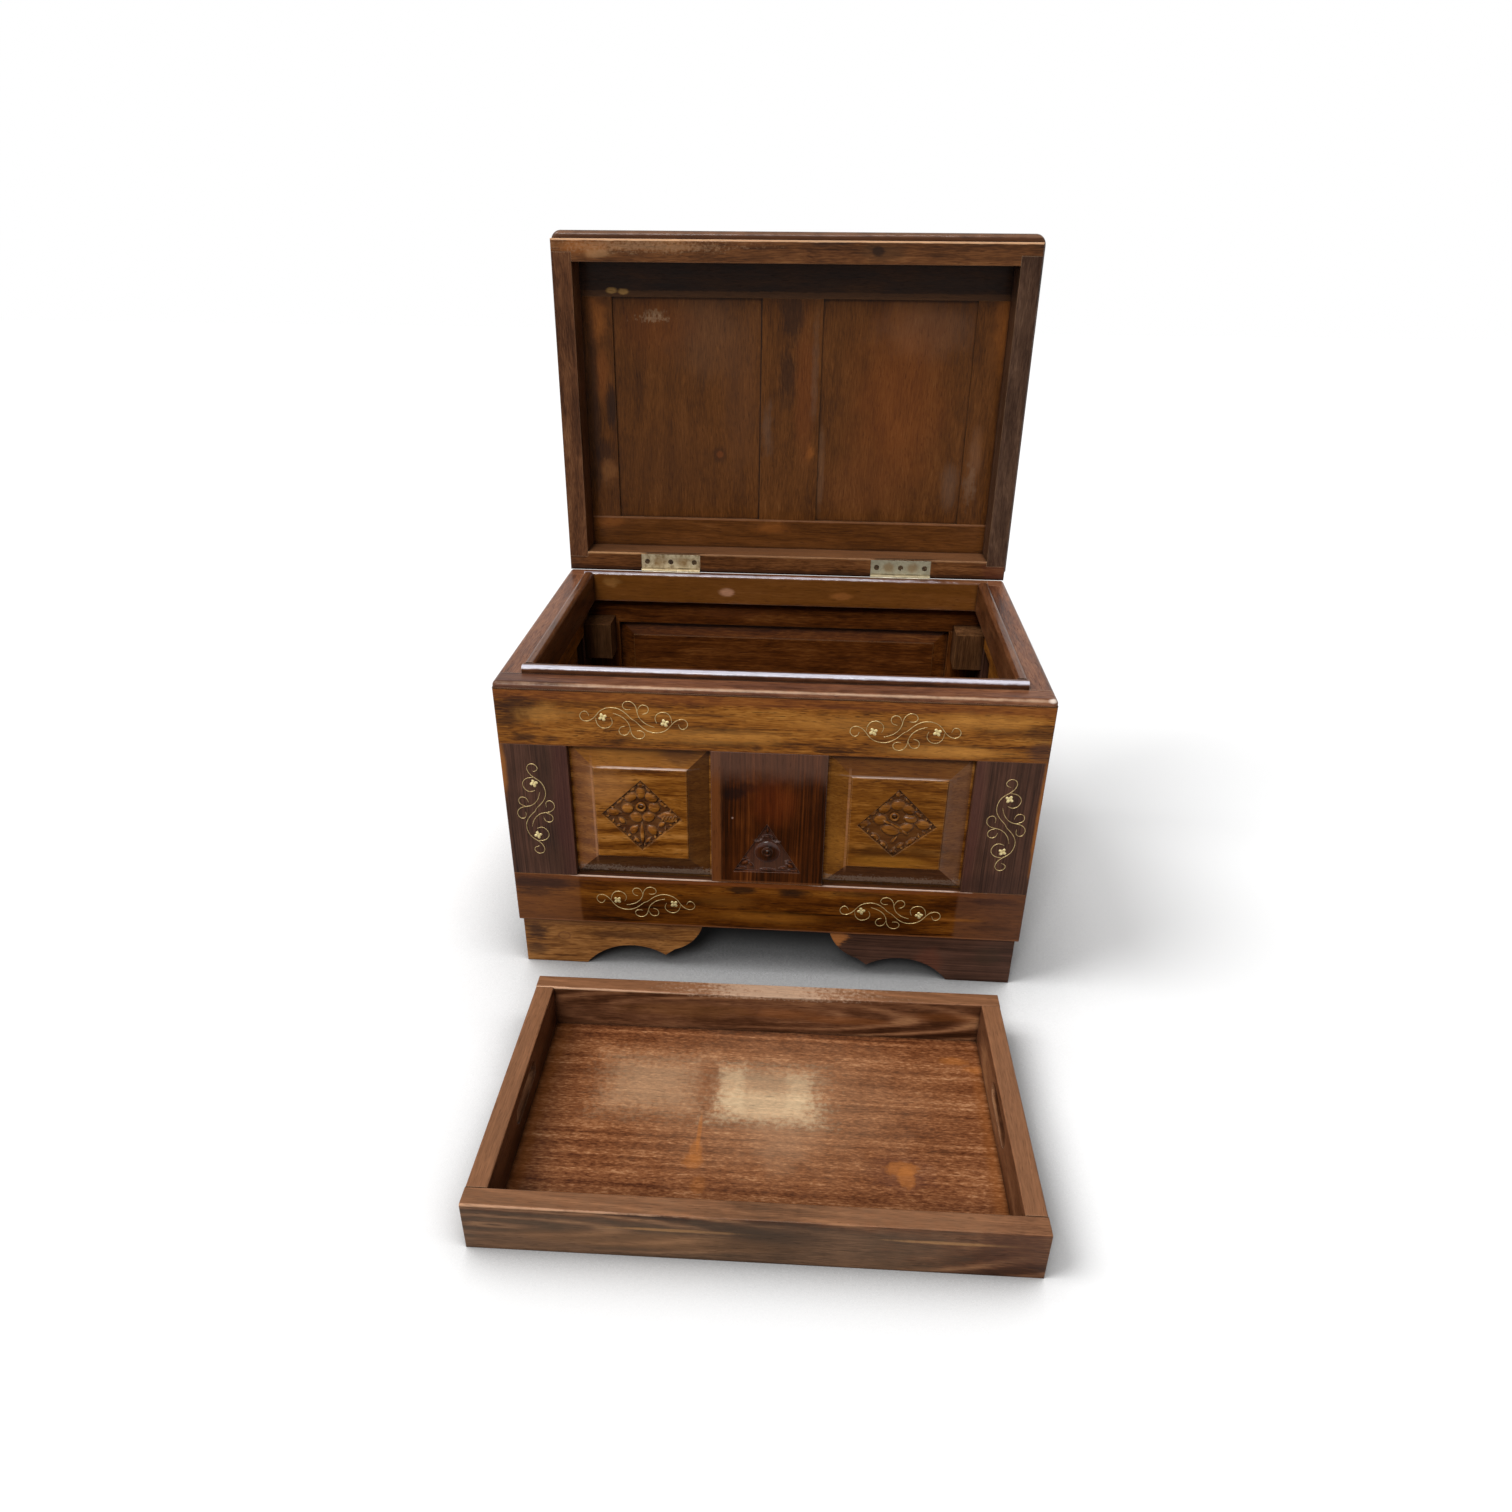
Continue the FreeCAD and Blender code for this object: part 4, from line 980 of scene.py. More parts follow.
    def _marks(self, side: int) -> list[tuple]:
        """A panel's rubbed, dark and glossy places, with its painted highlights, painted reflection and
        painted light and shade.
        """
        middle = side * self.middle / MM
        high = 256.3
        marks = [
            ((middle, FACE + 5, 200), (46, 0.8, 46), rgb(58, 32, 20), 0.7, 0.6, 0.3, 300, True, 0.7),
            # Painted highlight along the field's top edge.
            ((middle - side * 4, high + 0.6), (47, 0.8), rgb(226, 204, 190), 0.85, 0.6, 0.4, 120, True),
            # Painted light and shade on the four bevels.
            *self._bevel_light_and_shade(side),
            # Painted reflection: a grainy pale sheen on the lower bevel.
            ((middle, 129.5), (78, 3.4), rgb(150, 132, 116), 0.42, 1.3, 2.2, 520, True, 0.3),
            # Painted shade: a dark line where the panel meets the rail below.
            ((middle, 124.5), (78, 1.6), rgb(20, 10, 6), 0.8, 0.5, 0.2, 90, True),
            # Painted highlight along the field's left edge.
            ((middle - 51.2, 202), (1.2, 56), rgb(170, 120, 84), 0.5, 0.5, 0.3, 90, True),
        ]
        if side < 0:
            marks += [
                # Painted highlight: a glint on the boss.
                ((-134.3, FACE + 2.4, 214.5), (1.8, 2, 1), rgb(236, 222, 214), 0.8, 0.8, 0.2, 300),
                ((-170, 236), (24, 20), rgb(166, 112, 62), 0.5, 1.0, 0.5, 50),
                ((-92, 272), (20, 10), rgb(78, 46, 22), 0.6, 0.8, 0.5),
                ((-150, 272), (34, 10), rgb(158, 104, 42), 0.5, 0.8),
            ]
        else:
            marks += [
                ((140, 164), (60, 14), rgb(78, 42, 6), 0.45, 1.2, 0.5),
                ((140, 200), (56, 56), rgb(92, 54, 16), 0.35, 1.2, 0.4, 60, True),
                # Painted highlights: a glint on the boss and a glint line beside it.
                ((131.5, FACE + 2.4, 214.5), (1.6, 2, 1), rgb(236, 222, 214), 0.8, 0.8, 0.2, 300),
                ((146, FACE + 2.4, 211.4), (5, 2, 0.7), rgb(226, 208, 196), 0.7, 0.8, 0.3, 300),
                ((117, 168), (26, 7), rgb(62, 34, 12), 0.5, 0.9),
                ((165, 170), (22, 6), rgb(70, 40, 12), 0.5, 0.9),
                ((130, 156), (34, 7), rgb(158, 104, 34), 0.5, 0.9),
                ((73.5, 170), (10, 22), rgb(150, 98, 36), 0.5, 0.9, 0.5),
            ]
        return marks


@dataclass
class MiddleBoard:
    """The front's wide middle board, with a carved triangle at its foot."""

    corners: tuple = ((-0.0009, 0.1983), (-0.0372, 0.1362), (0.0366, 0.1376))

    def build(self) -> None:
        """Build and dress the board."""
        board = Bench.copy_of_node("front_muntin", "middle_board")
        carving = Carving(FRONT)
        carving.sink(board, self.corners)
        x, z = -0.0003, 0.1627
        carving.around(x, z, ((0.0, -1.0, 25.0, 24.0, 0),), 0.7)
        carving.ring(x, z, 0.0056, 0.0026, False)
        carving.around(x, z, (
            (-11.2, 12.9, 10.0, 2.4, 0), (-6.0, 16.2, 9.0, 2.4, 58), (0.2, 19.2, 10.5, 2.6, 0),
            (6.4, 16.2, 9.0, 2.4, -58), (11.2, 12.6, 9.0, 2.4, 0), (0.0, 27.0, 10.0, 3.6, 90),
            (-25.5, -9.5, 10.0, 2.4, 4), (-29.5, -22.0, 15.0, 2.8, 2), (-17.5, -17.0, 8.0, 3.0, -42),
            (-24.0, -15.0, 11.0, 5.5, 28), (24.5, -11.5, 10.0, 2.4, -4), (17.0, -20.0, 9.0, 2.8, 14),
            (30.0, -22.5, 14.0, 2.8, -3), (25.0, -17.0, 11.0, 5.5, -28), (1.0, -22.5, 17.0, 2.2, -2),
        ), 1.0, 0.7)
        piece = carving.done(board, "carved_middle_board")
        dark = rgb(24, 9, 6)
        marks = (
            ((-55.5, 200), (6.8, ALL), rgb(106, 60, 28), 0.85, 0.3, 0.22, 45, True),
            ((-49, 200), (1, ALL), rgb(22, 8, 4), 0.6, 0.8, 0.8, 60, True),
            # Painted reflection: a greyish haze over the board's upper part.
            ((0, 287), (ALL, 34), rgb(98, 68, 54), 0.65, 0.8, 0.3, 60, True),
            ((-35.2, 233), (12, 7), dark, 0.75, 0.9, 0.6, 90),
            ((-23, 240), (11, 6), dark, 0.6, 0.9, 0.6, 90),
            ((5, 224), (22, 24), rgb(112, 46, 14), 0.3, 1.2, 0.5),
            ((-37.5, 204), (1, 1.2), rgb(170, 140, 126), 0.6, 0.6, 0.2, 90),
            ((0, FACE + 3, 165), (50, 1.4, 40), rgb(72, 42, 34), 0.5, 0.6, 0.3, 300, True, 0.5),
            # Painted highlights: pale lines on two ridges and a glint on the boss.
            ((-9, FACE + 1.2, 178), (6, 1.4, 1.6), rgb(150, 130, 124), 0.6, 1.0, 0.8, 300),
            ((8, FACE + 1.2, 177), (6, 1.4, 1.6), rgb(150, 130, 124), 0.6, 1.0, 0.8, 300),
            ((-0.2, FACE + 0.6, 165.5), (2.4, 1.4, 1.2), rgb(176, 158, 152), 0.7, 0.9, 0.4, 300),
            ((0, 124.5), (ALL, 1.2), rgb(110, 66, 36), 0.6, 0.5, 0.5, 60, True),
        )
        dress(piece, RED_BROWN.board("middle board", Grain.UP, 7.7, marks))
        hand_over(piece, "chest", "dark_wood", "front_muntin")


@dataclass
class WireInlay:
    """Six scrolls of brass wire with four-petal flowers, let into the front."""

    radius: float = 0.00042
    tip_share: float = 0.55
    petal_reach: float = 0.0024
    petal_size: tuple = (0.0044, 0.0010, 0.0034)

    # One left-hand scroll's strokes in millimetres from its middle, each a line of points to draw through.
    STROKES = (
        ((-45.6, 0.1), (-46.5, 4.0), (-51.0, 5.6), (-55.4, 0.9), (-53.6, -5.0), (-47.9, -6.4), (-42.2, -3.4),
         (-38.6, 0.9), (-35.0, 6.4), (-29.8, 10.2), (-22.6, 12.0), (-15.5, 11.3), (-8.2, 7.0), (-1.8, 0.6),
         (0, 0)),
        ((-38.6, -0.5), (-38.4, -6.1), (-34.1, -11.4), (-28.5, -12.3), (-22.9, -9.2), (-20.9, -3.5),
         (-23.5, 0.8)),
        ((21.3, -5.6), (15.0, -4.3), (8.6, -0.4), (4.6, 4.5), (3.1, 9.9), (2.0, 15.2), (-1.0, 19.0),
         (-5.2, 20.6), (-10.4, 19.0), (-12.3, 14.2), (-8.4, 10.4), (-3.6, 11.5)),
        ((3.2, 9.9), (4.5, 15.0), (8.1, 18.1), (13.2, 17.3), (15.1, 12.8), (12.6, 8.2), (8.4, 7.6)),
    )
    FLOWERS = ((-31.6, 0.0), (31.6, 0.0))

    # Each scroll's middle, its turn, whether it is a right-hand one, and how its petals stand.
    SCROLLS = (
        (-0.13765, 0.3131, -3.8, False, 25), (0.13475, 0.31055, 1.6, True, 30),
        (-0.13395, 0.0913, -1.9, True, 45), (0.13595, 0.0911, -2.0, False, 10),
        (-0.24735, 0.2044, 89.2, False, 15), (0.24675, 0.2074, -89.3, True, 60),
    )

    def wire(self, points: Sequence[Spot], name: str) -> bpy.types.Object:
        """One wire drawn through points.

        Args:
            points: the points on the front face, in metres.
            name: the wire's name.

        Returns:
            The wire as a mesh.
        """
        made = Bench.start(bpy.ops.curve.primitive_nurbs_path_add, name, location=(0, 0, 0))
        spline = made.data.splines[0]
        spline.points.add(len(points) - len(spline.points))
        for point, (x, z) in zip(spline.points, points):
            point.co = (x, FRONT, z, 1)
            point.radius = 1
        for point in (spline.points[0], spline.points[-1]):
            point.radius = self.tip_share
        spline.order_u = 3
        spline.use_endpoint_u = True
        made.data.dimensions = "3D"
        made.data.resolution_u = 5
        made.data.bevel_depth = self.radius
        made.data.bevel_resolution = 1
        made.data.use_fill_caps = True
        Bench.only(made)
        bpy.ops.object.convert(target="MESH")
        return bpy.context.object

    def flower(self, x: float, z: float, turn: float) -> bpy.types.Object:
        """A four-petal flower.

        Args:
            x: its middle across, in metres.
            z: its middle up, in metres.
            turn: how its petals stand, in degrees.

        Returns:
            The flower.
        """
        petals = []
        for quarter in range(4):
            angle = math.radians(turn + 90 * quarter)
            across, up = self.petal_reach * math.cos(angle), self.petal_reach * math.sin(angle)
            petal = Bench.start(
                bpy.ops.mesh.primitive_uv_sphere_add, "petal", segments=12, ring_count=8, radius=0.5,
                location=(x + across, FRONT, z + up), rotation=(0, -angle, 0),
            )
            petal.scale = self.petal_size
            petals.append(Bench.settle(petal))
        return Bench.join(petals, "flower")

    def scroll(self, x: float, z: float, turn: float, mirror: bool, flower_turn: float) -> tuple[list, list]:
        """One whole scroll, its second half the first one turned half round.

        Args:
            x: its middle across, in metres.
            z: its middle up, in metres.
            turn: how far it is turned, in degrees.
            mirror: whether it is a right-hand one.
            flower_turn: how its flowers' petals stand, in degrees.

        Returns:
            Its wires, and its flowers.
        """
        cosine, sine = math.cos(math.radians(turn)), math.sin(math.radians(turn))

        def spot(a: float, b: float) -> Spot:
            """A place of the stroke on the front face."""
            a = -a if mirror else a
            return x + (a * cosine - b * sine) * MM, z + (a * sine + b * cosine) * MM

        wires, flowers = [], []
        for stroke in self.STROKES:
            for half in (1, -1):
                wires.append(self.wire([spot(a * half, b * half) for a, b in stroke], "wire"))
        for a, b in self.FLOWERS:
            flowers.append(self.flower(*spot(a, b), flower_turn))
        return wires, flowers

    def build(self) -> None:
        """Lay all six scrolls."""
        wires, flowers = [], []
        for place in self.SCROLLS:
            more_wires, more_flowers = self.scroll(*place)
            wires += more_wires
            flowers += more_flowers
        wire = Bench.smooth(Bench.join(wires, "inlay_wire"))
        dress(wire, BRASS.material())
        hand_over(wire, "chest", "brass", "brass_inlay")
        bloom = Bench.smooth(Bench.join(flowers, "inlay_flowers"))
        dress(bloom, PETAL_BRASS.material())
        hand_over(bloom, "chest", "brass")


@dataclass
class Boards:
    """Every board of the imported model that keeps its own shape, each with its own cut of wood."""

    lean: float = math.radians(2.5)

    def dress(self) -> None:
        """Give every board its material."""
        self._front()
        self._chest()
        self._lid()
        self._tray()

    @staticmethod
    def _cut(node: str, wood: Wood, grain: Grain, seed: float, patches: Iterable[tuple] = (),
             **more: object) -> None:
        """Dress one node.

        Args:
            node: its name.
            wood: its finish.
            grain: which way its grain runs.
            seed: where it is cut from.
            patches: rows of the places where its colour differs.
            more: whatever else the finish is told about the board.
        """
        dress(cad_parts[node], wood.board(node.replace("_", " "), grain, seed, patches, **more))

    def _front(self) -> None:
        """The front's rails and stiles."""
        dark, smoke, glow = rgb(44, 24, 14), rgb(70, 46, 38), rgb(198, 138, 66)
        self._cut("front_top_rail", AMBER, Grain.ACROSS, 1.1, (
            ((0, 338), (ALL, 6), rgb(122, 66, 32), 0.5, 1.0, 0.5, 40, True),
            ((-256, 322), (24, 12), dark, 0.7, 1.1, 0.6, 45),
            ((-267, 308), (14, 7), dark),
            ((-248, 290.5), (12, 4), dark),
            ((-225, 290), (9, 3), dark, 0.5),
            ((264, 312), (18, 7), dark, 0.5, 1.1, 0.8, 45),
            ((272, 292), (16, 12), smoke, 0.6, 1.0, 0.5, 45),
            ((-228, 316), (24, 9), glow, 0.45, 1.2, 1.0),
            ((-60, 298), (70, 8), glow, 0.35, 1.2, 0.7, 40),
            ((180, 290.5), (56, 6), glow, 0.55, 1.1, 0.6, 50),
            ((210, 324), (50, 8), glow, 0.4, 1.2, 0.7, 50),
            ((80, 316), (50, 8), glow, 0.3, 1.2, 0.7, 40),
            ((-13, 287), (6, 3), dark, 0.6, 0.9, 0.5, 90),
            ((-78, 321), (40, 1.2), dark, 0.5),
            ((-25, 304.5), (50, 1.2), dark, 0.4),
            ((0, 343.3), (ALL, 1.3), rgb(22, 12, 10), 0.8, 0.6, 0.2, 60, True),
            ((0, 282.2), (ALL, 1), rgb(120, 66, 30), 0.5, 0.6, 0.4, 60, True),
        ))
        bruise = rgb(26, 15, 10)
        self._cut("front_bottom_rail", DEEP_AMBER, Grain.ACROSS, 2.4, (
            ((244, 90), (37, ALL), rgb(94, 58, 38), 0.75, 0.12, 0.06, 40, True),
            ((-244, 90), (37, ALL), rgb(118, 72, 40), 0.55, 0.12, 0.06, 40, True),
            ((-248, 111), (36, 8), rgb(46, 26, 20), 0.8, 1.0, 0.6, 50),
            ((-256, 99), (24, 5), rgb(60, 34, 20), 0.6, 1.0, 0.7),
            ((242, 112), (26, 4), rgb(54, 32, 26)),
            ((250, 78), (26, 3), rgb(58, 34, 22), 0.5),
            ((200, 86), (30, 2), rgb(150, 90, 34), 0.5),
            ((0, 78), (60, 7), rgb(132, 80, 24), 0.5, 1.1, 0.6, 50),
            ((-45, 98), (30, 8), rgb(120, 72, 22), 0.5, 1.1, 0.6, 50),
            ((-28.8, 112.5), (15, 5), bruise, 0.8, 0.9, 0.5, 70),
            ((30, 112), (14, 6), bruise, 0.8, 0.9, 0.5, 70),
            ((100, 114), (30, 4), bruise, 0.5, 1.0, 0.6, 70),
            ((0, 119.5), (208, 2.2), rgb(124, 68, 34), 0.55, 0.8, 0.5, 60, True),
            ((-134.5, FACE + 7.5, 123.2), (78, 6.2, 1.2), rgb(64, 38, 24), 0.8, 0.3, 0.1, 120, True),
            ((134.5, FACE + 7.5, 123.2), (78, 6.2, 1.2), rgb(64, 38, 24), 0.8, 0.3, 0.1, 120, True),
            # Painted highlights along the rail's top arris under each panel.
            ((-134.5, FACE, 123), (76, 1.6, 1), rgb(216, 188, 170), 0.85, 0.5, 0.3, 90, True),
            ((134.5, FACE, 123), (76, 1.6, 1), rgb(208, 182, 168), 0.8, 0.5, 0.4, 90, True),
            ((0, 61.8), (ALL, 1), rgb(134, 84, 54), 0.5, 0.6, 0.4, 60, True),
        ))
        orange = rgb(158, 98, 48)
        self._cut("front_left_stile", PURPLE, Grain.UP, 4.2, (
            ((-279.5, 252), (5, 30), orange, 0.8, 1.0, 0.4),
            ((-215, 210), (12, 90), rgb(76, 42, 36), 0.6, 1.0, 0.4, 40),
            ((-245, 143), (30, 16), rgb(66, 42, 30), 0.5, 1.0, 0.5, 40),
        ))
        self._cut("front_right_stile", PURPLE, Grain.UP, 5.9, (
            ((279.5, 220), (3.2, 70), orange, 0.8, 0.9, 0.4),
            ((212, 210), (9, 90), rgb(84, 50, 42), 0.6, 1.0, 0.4, 40),
            ((235, 133), (30, 14), rgb(52, 34, 28), 0.5, 1.0, 0.5, 40),
        ))

    def _chest(self) -> None:
        """The rest of the chest."""
        amber_foot = (
            ((-230.6, 37), (7.5, 5.5), rgb(104, 64, 36), 0.7, 0.3, 0.1),
            ((-230.6, 37), (5.8, 4), rgb(138, 90, 46), 0.8, 0.3, 0.1),
            ((-150, 42), (45, 6), rgb(70, 40, 22), 0.6, 1.0, 0.7, 50),
            ((-262, 42), (13, 10), rgb(52, 30, 20), 0.8, 1.0, 0.7),
            ((-264, 18), (12, 8), rgb(58, 34, 22), 0.7),
            ((-155, 56), (ALL, 4), rgb(96, 58, 34), 0.5, 1.0, 0.4, 50, True),
        )
        dark_foot = (
            ((79, 52), (12, 9), rgb(176, 110, 58), 0.75, 0.8, 1.0, 90),
            ((185, 22), (14, 20), rgb(96, 52, 36), 0.5, 1.0, 0.6, 50),
            ((250, 36), (14, 12), rgb(58, 42, 30), 0.5, 1.0, 0.6, 50),
            ((220, 56), (60, 4), rgb(88, 58, 44), 0.5, 1.0, 0.4, 50),
        )
        for number, side in enumerate(("left", "right")):
            self._cut(f"{side}_top_rail", AMBER, Grain.DEEP, 8.1 + number)
            self._cut(f"{side}_bottom_rail", DEEP_AMBER, Grain.DEEP, 10.1 + number)
            self._cut(f"{side}_stiles", PURPLE, Grain.UP, 12.1 + number)
            self._cut(f"{side}_panel", FIELD, Grain.DEEP, 14.1 + number)
            self._cut(f"rim_{side}", RIM, Grain.DEEP, 16.1 + number)
            self._cut(f"lip_{side}", LIP, Grain.DEEP, 18.1 + number)
            self._cut(f"front_{side}_foot", (AMBER_FOOT, PURPLE)[number], Grain.ACROSS, 20.1 + number,
                      (amber_foot, dark_foot)[number])
            self._cut(f"back_{side}_foot", PURPLE, Grain.ACROSS, 22.1 + number)
            for end in ("front", "back"):
                self._cut(f"{side}_{end}_foot", PURPLE, Grain.DEEP, 24.1 + number)
        self._cut("back_top_rail", LINER, Grain.ACROSS, 26.4, (
            ((-72, 306), (60, 8), rgb(96, 52, 26), 0.4, 1.2, 0.8),
        ))
        self._cut("back_bottom_rail", LINER, Grain.ACROSS, 27.4)
        self._cut("back_stiles", LINER, Grain.UP, 28.4)
        self._cut("back_panel", LINER, Grain.ACROSS, 29.4, (
            ((70, 190), (28, 8), rgb(140, 72, 26), 0.5),
        ))
        # A pale bluish painted reflection on the lips' tops.
        painted_reflection = rgb(206, 204, 216)
        self._cut("rim_front", RIM, Grain.ACROSS, 30.4, (
            ((-265, 350), (40, ALL), rgb(76, 48, 38), 0.6, 0.8, 0.4, 40, True),
            # Painted highlight along the front arris.
            ((40, FACE, 350), (240, 2.4, 2.4), rgb(206, 170, 138), 0.6, 0.9, 0.5, 70, True),
            # Painted shade: a dark line at the foot of the lip.
            ((0, -12.5, 350), (256, 1.4, 2), rgb(24, 14, 12), 0.8, 0.6, 0.2, 60, True),
            # Painted highlight: a glint on the right front corner.
            ((275, FACE, 350), (5, 4, 3), rgb(230, 214, 200), 0.8, 0.8, 0.4, 90),
        ))
        self._cut("rim_back", RIM, Grain.ACROSS, 31.4)
        self._cut("lip_front", LIP, Grain.ACROSS, 32.4, (
            # Painted reflection along the lip's top.
            ((0, -8.5, 357), (ALL, 2.4, 2.2), painted_reflection, 0.85, 0.9, 0.4, 90, True, 0.5),
        ))
        self._cut("lip_back", LIP, Grain.ACROSS, 33.4, (
            ((0, 338), (ALL, 17), rgb(112, 66, 20), 0.7, 0.4, 0.3, 60, True),
            ((-72, 335.5), (9, 5), rgb(184, 134, 104), 0.75, 0.8, 0.4, 90),
            ((74, 334), (12, 4), rgb(156, 96, 48), 0.55, 0.9, 0.6, 90),
            ((-220, 344), (10, 6), rgb(150, 104, 56), 0.5, 0.9, 0.8, 90),
            # Painted reflection along the lip's top.
            ((-60, 308.5, 357), (210, 2.6, 2), painted_reflection, 0.5, 0.9, 0.7, 60, True, 0.4),
        ))
        self._cut("bottom_board", RAW, Grain.ACROSS, 34.4)
        self._cut("foot_blocks", RAW, Grain.UP, 35.4)
        self._cut("tray_rest_blocks", RAW, Grain.UP, 36.4)

    def _lid(self) -> None:
        """The lid."""
        haze, orange, red = rgb(112, 82, 62), rgb(164, 96, 42), rgb(104, 54, 22)
        knot, smudge, raw = rgb(48, 26, 14), rgb(38, 22, 14), rgb(196, 150, 88)
        marks = {
            "lid_front_board": (
                ((-241, 722), (26, 7), orange, 0.45, 1.2, 1.0),
                ((100, 720), (24, 10), rgb(70, 46, 26), 0.6, 1.0, 0.4),
                ((96, 720), (7, 5), rgb(34, 20, 12), 0.85, 0.6, 0.2, 90),
                # Painted highlights: pale specks across the board's left part.
                ((-170, 723), (70, 5), rgb(176, 136, 100), 0.4, 1.4, 2.0, 300),
                ((43, 727.5), (24, 4), smudge),
                ((-225, 715), (14, 4), rgb(170, 128, 88), 0.5),
                # Painted highlight along the board's top arris.
                ((0, 729.5), (ALL, 1.2), rgb(206, 160, 120), 0.8, 0.7, 0.6, 60, True),
                ((0, 705.5), (ALL, 1.2), rgb(150, 96, 60), 0.5, 0.7, 0.6, 60, True),
            ),
            "lid_back_board": (
                ((0, 367, 371.8), (ALL, 21, 2), rgb(112, 76, 50), 0.7, 0.3, 0.2, 60, True),
                ((-205, 345, 372), (52, 2, 1.2), rgb(206, 156, 104), 0.8, 0.8, 0.5, 60, True),
                ((0, 345, 372), (ALL, 1.6, 1.2), rgb(168, 124, 88), 0.6, 0.8, 0.8, 60, True),
                ((-148, 345, 371.6), (39, 6, 2.4), rgb(34, 20, 12), 0.75, 0.4, 0.5, 90, True),
                ((148, 345, 371.6), (39, 6, 2.4), rgb(34, 20, 12), 0.75, 0.4, 0.5, 90, True),
                # Painted shade: a dark band along the foot of the lid, just above the rim.
                ((0, 352), (ALL, 3), rgb(48, 28, 18), 0.7, 0.7, 0.4, 60, True),
                ((270, 360.5), (18, 12), rgb(84, 44, 30), 0.6, 0.9, 0.4),
            ),
            "lid_left_stile": (
                ((-238.2, 642.5), (10, 22), orange, 0.4, 1.2, 1.0, 70),
                ((-235.5, 579), (8, 26), rgb(136, 76, 34), 0.4, 1.2, 1.0, 70),
                ((-224.7, 544.4), (7, 24), smudge, 0.8, 0.9),
                ((-236, 486.3), (12, 14), knot, 0.7, 0.9, 0.6, 70),
                ((-231, 464), (10, 14), rgb(150, 98, 56), 0.4, 1.2, 1.0, 80),
                ((-248, 540), (8, 110), smudge, 0.6, 0.9, 0.4, 40),
            ),
            "lid_right_stile": (
                ((251, 638), (11, 40), orange, 0.28, 1.2, 1.0),
                ((233, 490), (8, 30), rgb(120, 82, 56), 0.5),
                ((230, 456), (6, 20), rgb(140, 112, 90), 0.25, 1.2, 1.6, 120),
            ),
            "lid_front_rail": (
                # The rail's lower strip, outside the painted shadow, in its lit colour.
                ((0, 670.5), (ALL, 4), rgb(92, 60, 36), 0.7, 0.4, 0.5, 90, True),
                ((0, 720), (ALL, 15), rgb(88, 56, 34), 0.7, 0.3, 0.3, 60, True),
                # Painted highlight along the lid's top edge.
                ((0, 403, 737), (ALL, 6, 3), rgb(136, 98, 72), 0.5, 0.7, 0.4, 60, True, 0.2),
                ((-218.4, 674.1), (6, 3), raw, 0.9, 0.8, 0.4, 90),
                ((-204.4, 673.2), (6, 3), raw, 0.9, 0.8, 0.4, 90),
            ),
            "lid_back_rail": (
                ((-238, 400), (22, 6), orange, 0.35, 1.2, 1.0),
                ((-19.3, 396.7), (24, 6), orange, 0.3, 1.2, 1.0),
                ((0, 406.4), (ALL, 1.1), rgb(150, 104, 74), 0.5, 0.7, 0.7, 60, True),
            ),
            "lid_muntin": (
                ((-0.9, 649), (13, 30), smudge, 0.7, 1.0, 0.6, 50),
                ((-4.8, 578.7), (10, 30), smudge, 0.6, 1.0, 0.7, 50),
                ((-28.1, 516.4), (6, 30), haze, 0.4, 1.2, 1.0),
                ((27, 491.5), (5, 10), orange, 0.4, 0.9, 1.0, 80),
                ((18, 560), (12, 70), red, 0.5, 1.0, 0.5, 40),
                ((29, 590), (4, 50), haze, 0.35, 1.2, 1.0),
            ),
            "lid_left_panel": (
                ((-88.8, 487.2), (9, 10), knot, 0.6, 0.9, 0.5, 80),
                ((-88, 487.5), (4, 4), rgb(120, 64, 30), 0.7, 0.8, 0.4, 90),
                ((-96.7, 630), (45, 45), haze, 0.22, 1.4, 0.6, 30),
                ((-165.5, 632.4), (40, 30), red, 0.35, 1.3, 0.5, 40),
                ((-170, 644), (14, 3), rgb(176, 144, 112), 0.35, 1.2, 2.0, 300),
                ((-169, 650), (10, 3), rgb(166, 136, 104), 0.3, 1.2, 2.0, 300),
                # Painted shade: a dark line where the recessed panel meets the muntin.
                ((-37.2, 550), (1.1, ALL), rgb(22, 11, 7), 0.8, 0.6, 0.3, 60, True),
                ((-62, 550), (20, 80), rgb(98, 60, 34), 0.4, 1.0, 0.6, 40),
                ((-150, 470), (60, 50), rgb(80, 46, 20), 0.4, 1.2, 0.6, 30),
            ),
            "lid_right_panel": (
                ((161.9, 636.5), (50, 28), rgb(122, 84, 60), 0.35, 1.3, 0.8, 40),
                ((205.1, 456.7), (10, 24), haze, 0.45, 1.2, 0.7, 50),
                ((133.1, 550.4), (50, 90), rgb(124, 66, 26), 0.4, 1.4, 0.6, 35),
                ((90, 450), (50, 30), rgb(106, 60, 28), 0.3, 1.4, 0.5, 35),
                ((40, 470), (5, 50), rgb(124, 88, 62), 0.4, 1.0, 0.7, 50),
            ),
        }
        for number, (node, wood, grain) in enumerate((
            ("lid_front_board", LID_EDGE, Grain.ACROSS), ("lid_back_board", LID_EDGE, Grain.ACROSS),
            ("lid_left_board", LID_WARM, Grain.UP), ("lid_right_board", LID_SIDE, Grain.UP),
            ("lid_front_rail", LID_RAIL_PAINTED_SHADOW, Grain.ACROSS), ("lid_back_rail", LID, Grain.ACROSS),
            ("lid_left_stile", LID, Grain.UP), ("lid_right_stile", LID, Grain.UP),
            ("lid_muntin", LID, Grain.UP), ("lid_left_panel", LID, Grain.UP),
            ("lid_right_panel", LID, Grain.UP),
        )):
            self._cut(node, wood, grain, 40.7 + number, marks.get(node, ()), tilt=-self.lean)

    def _tray(self) -> None:
        """The tray."""
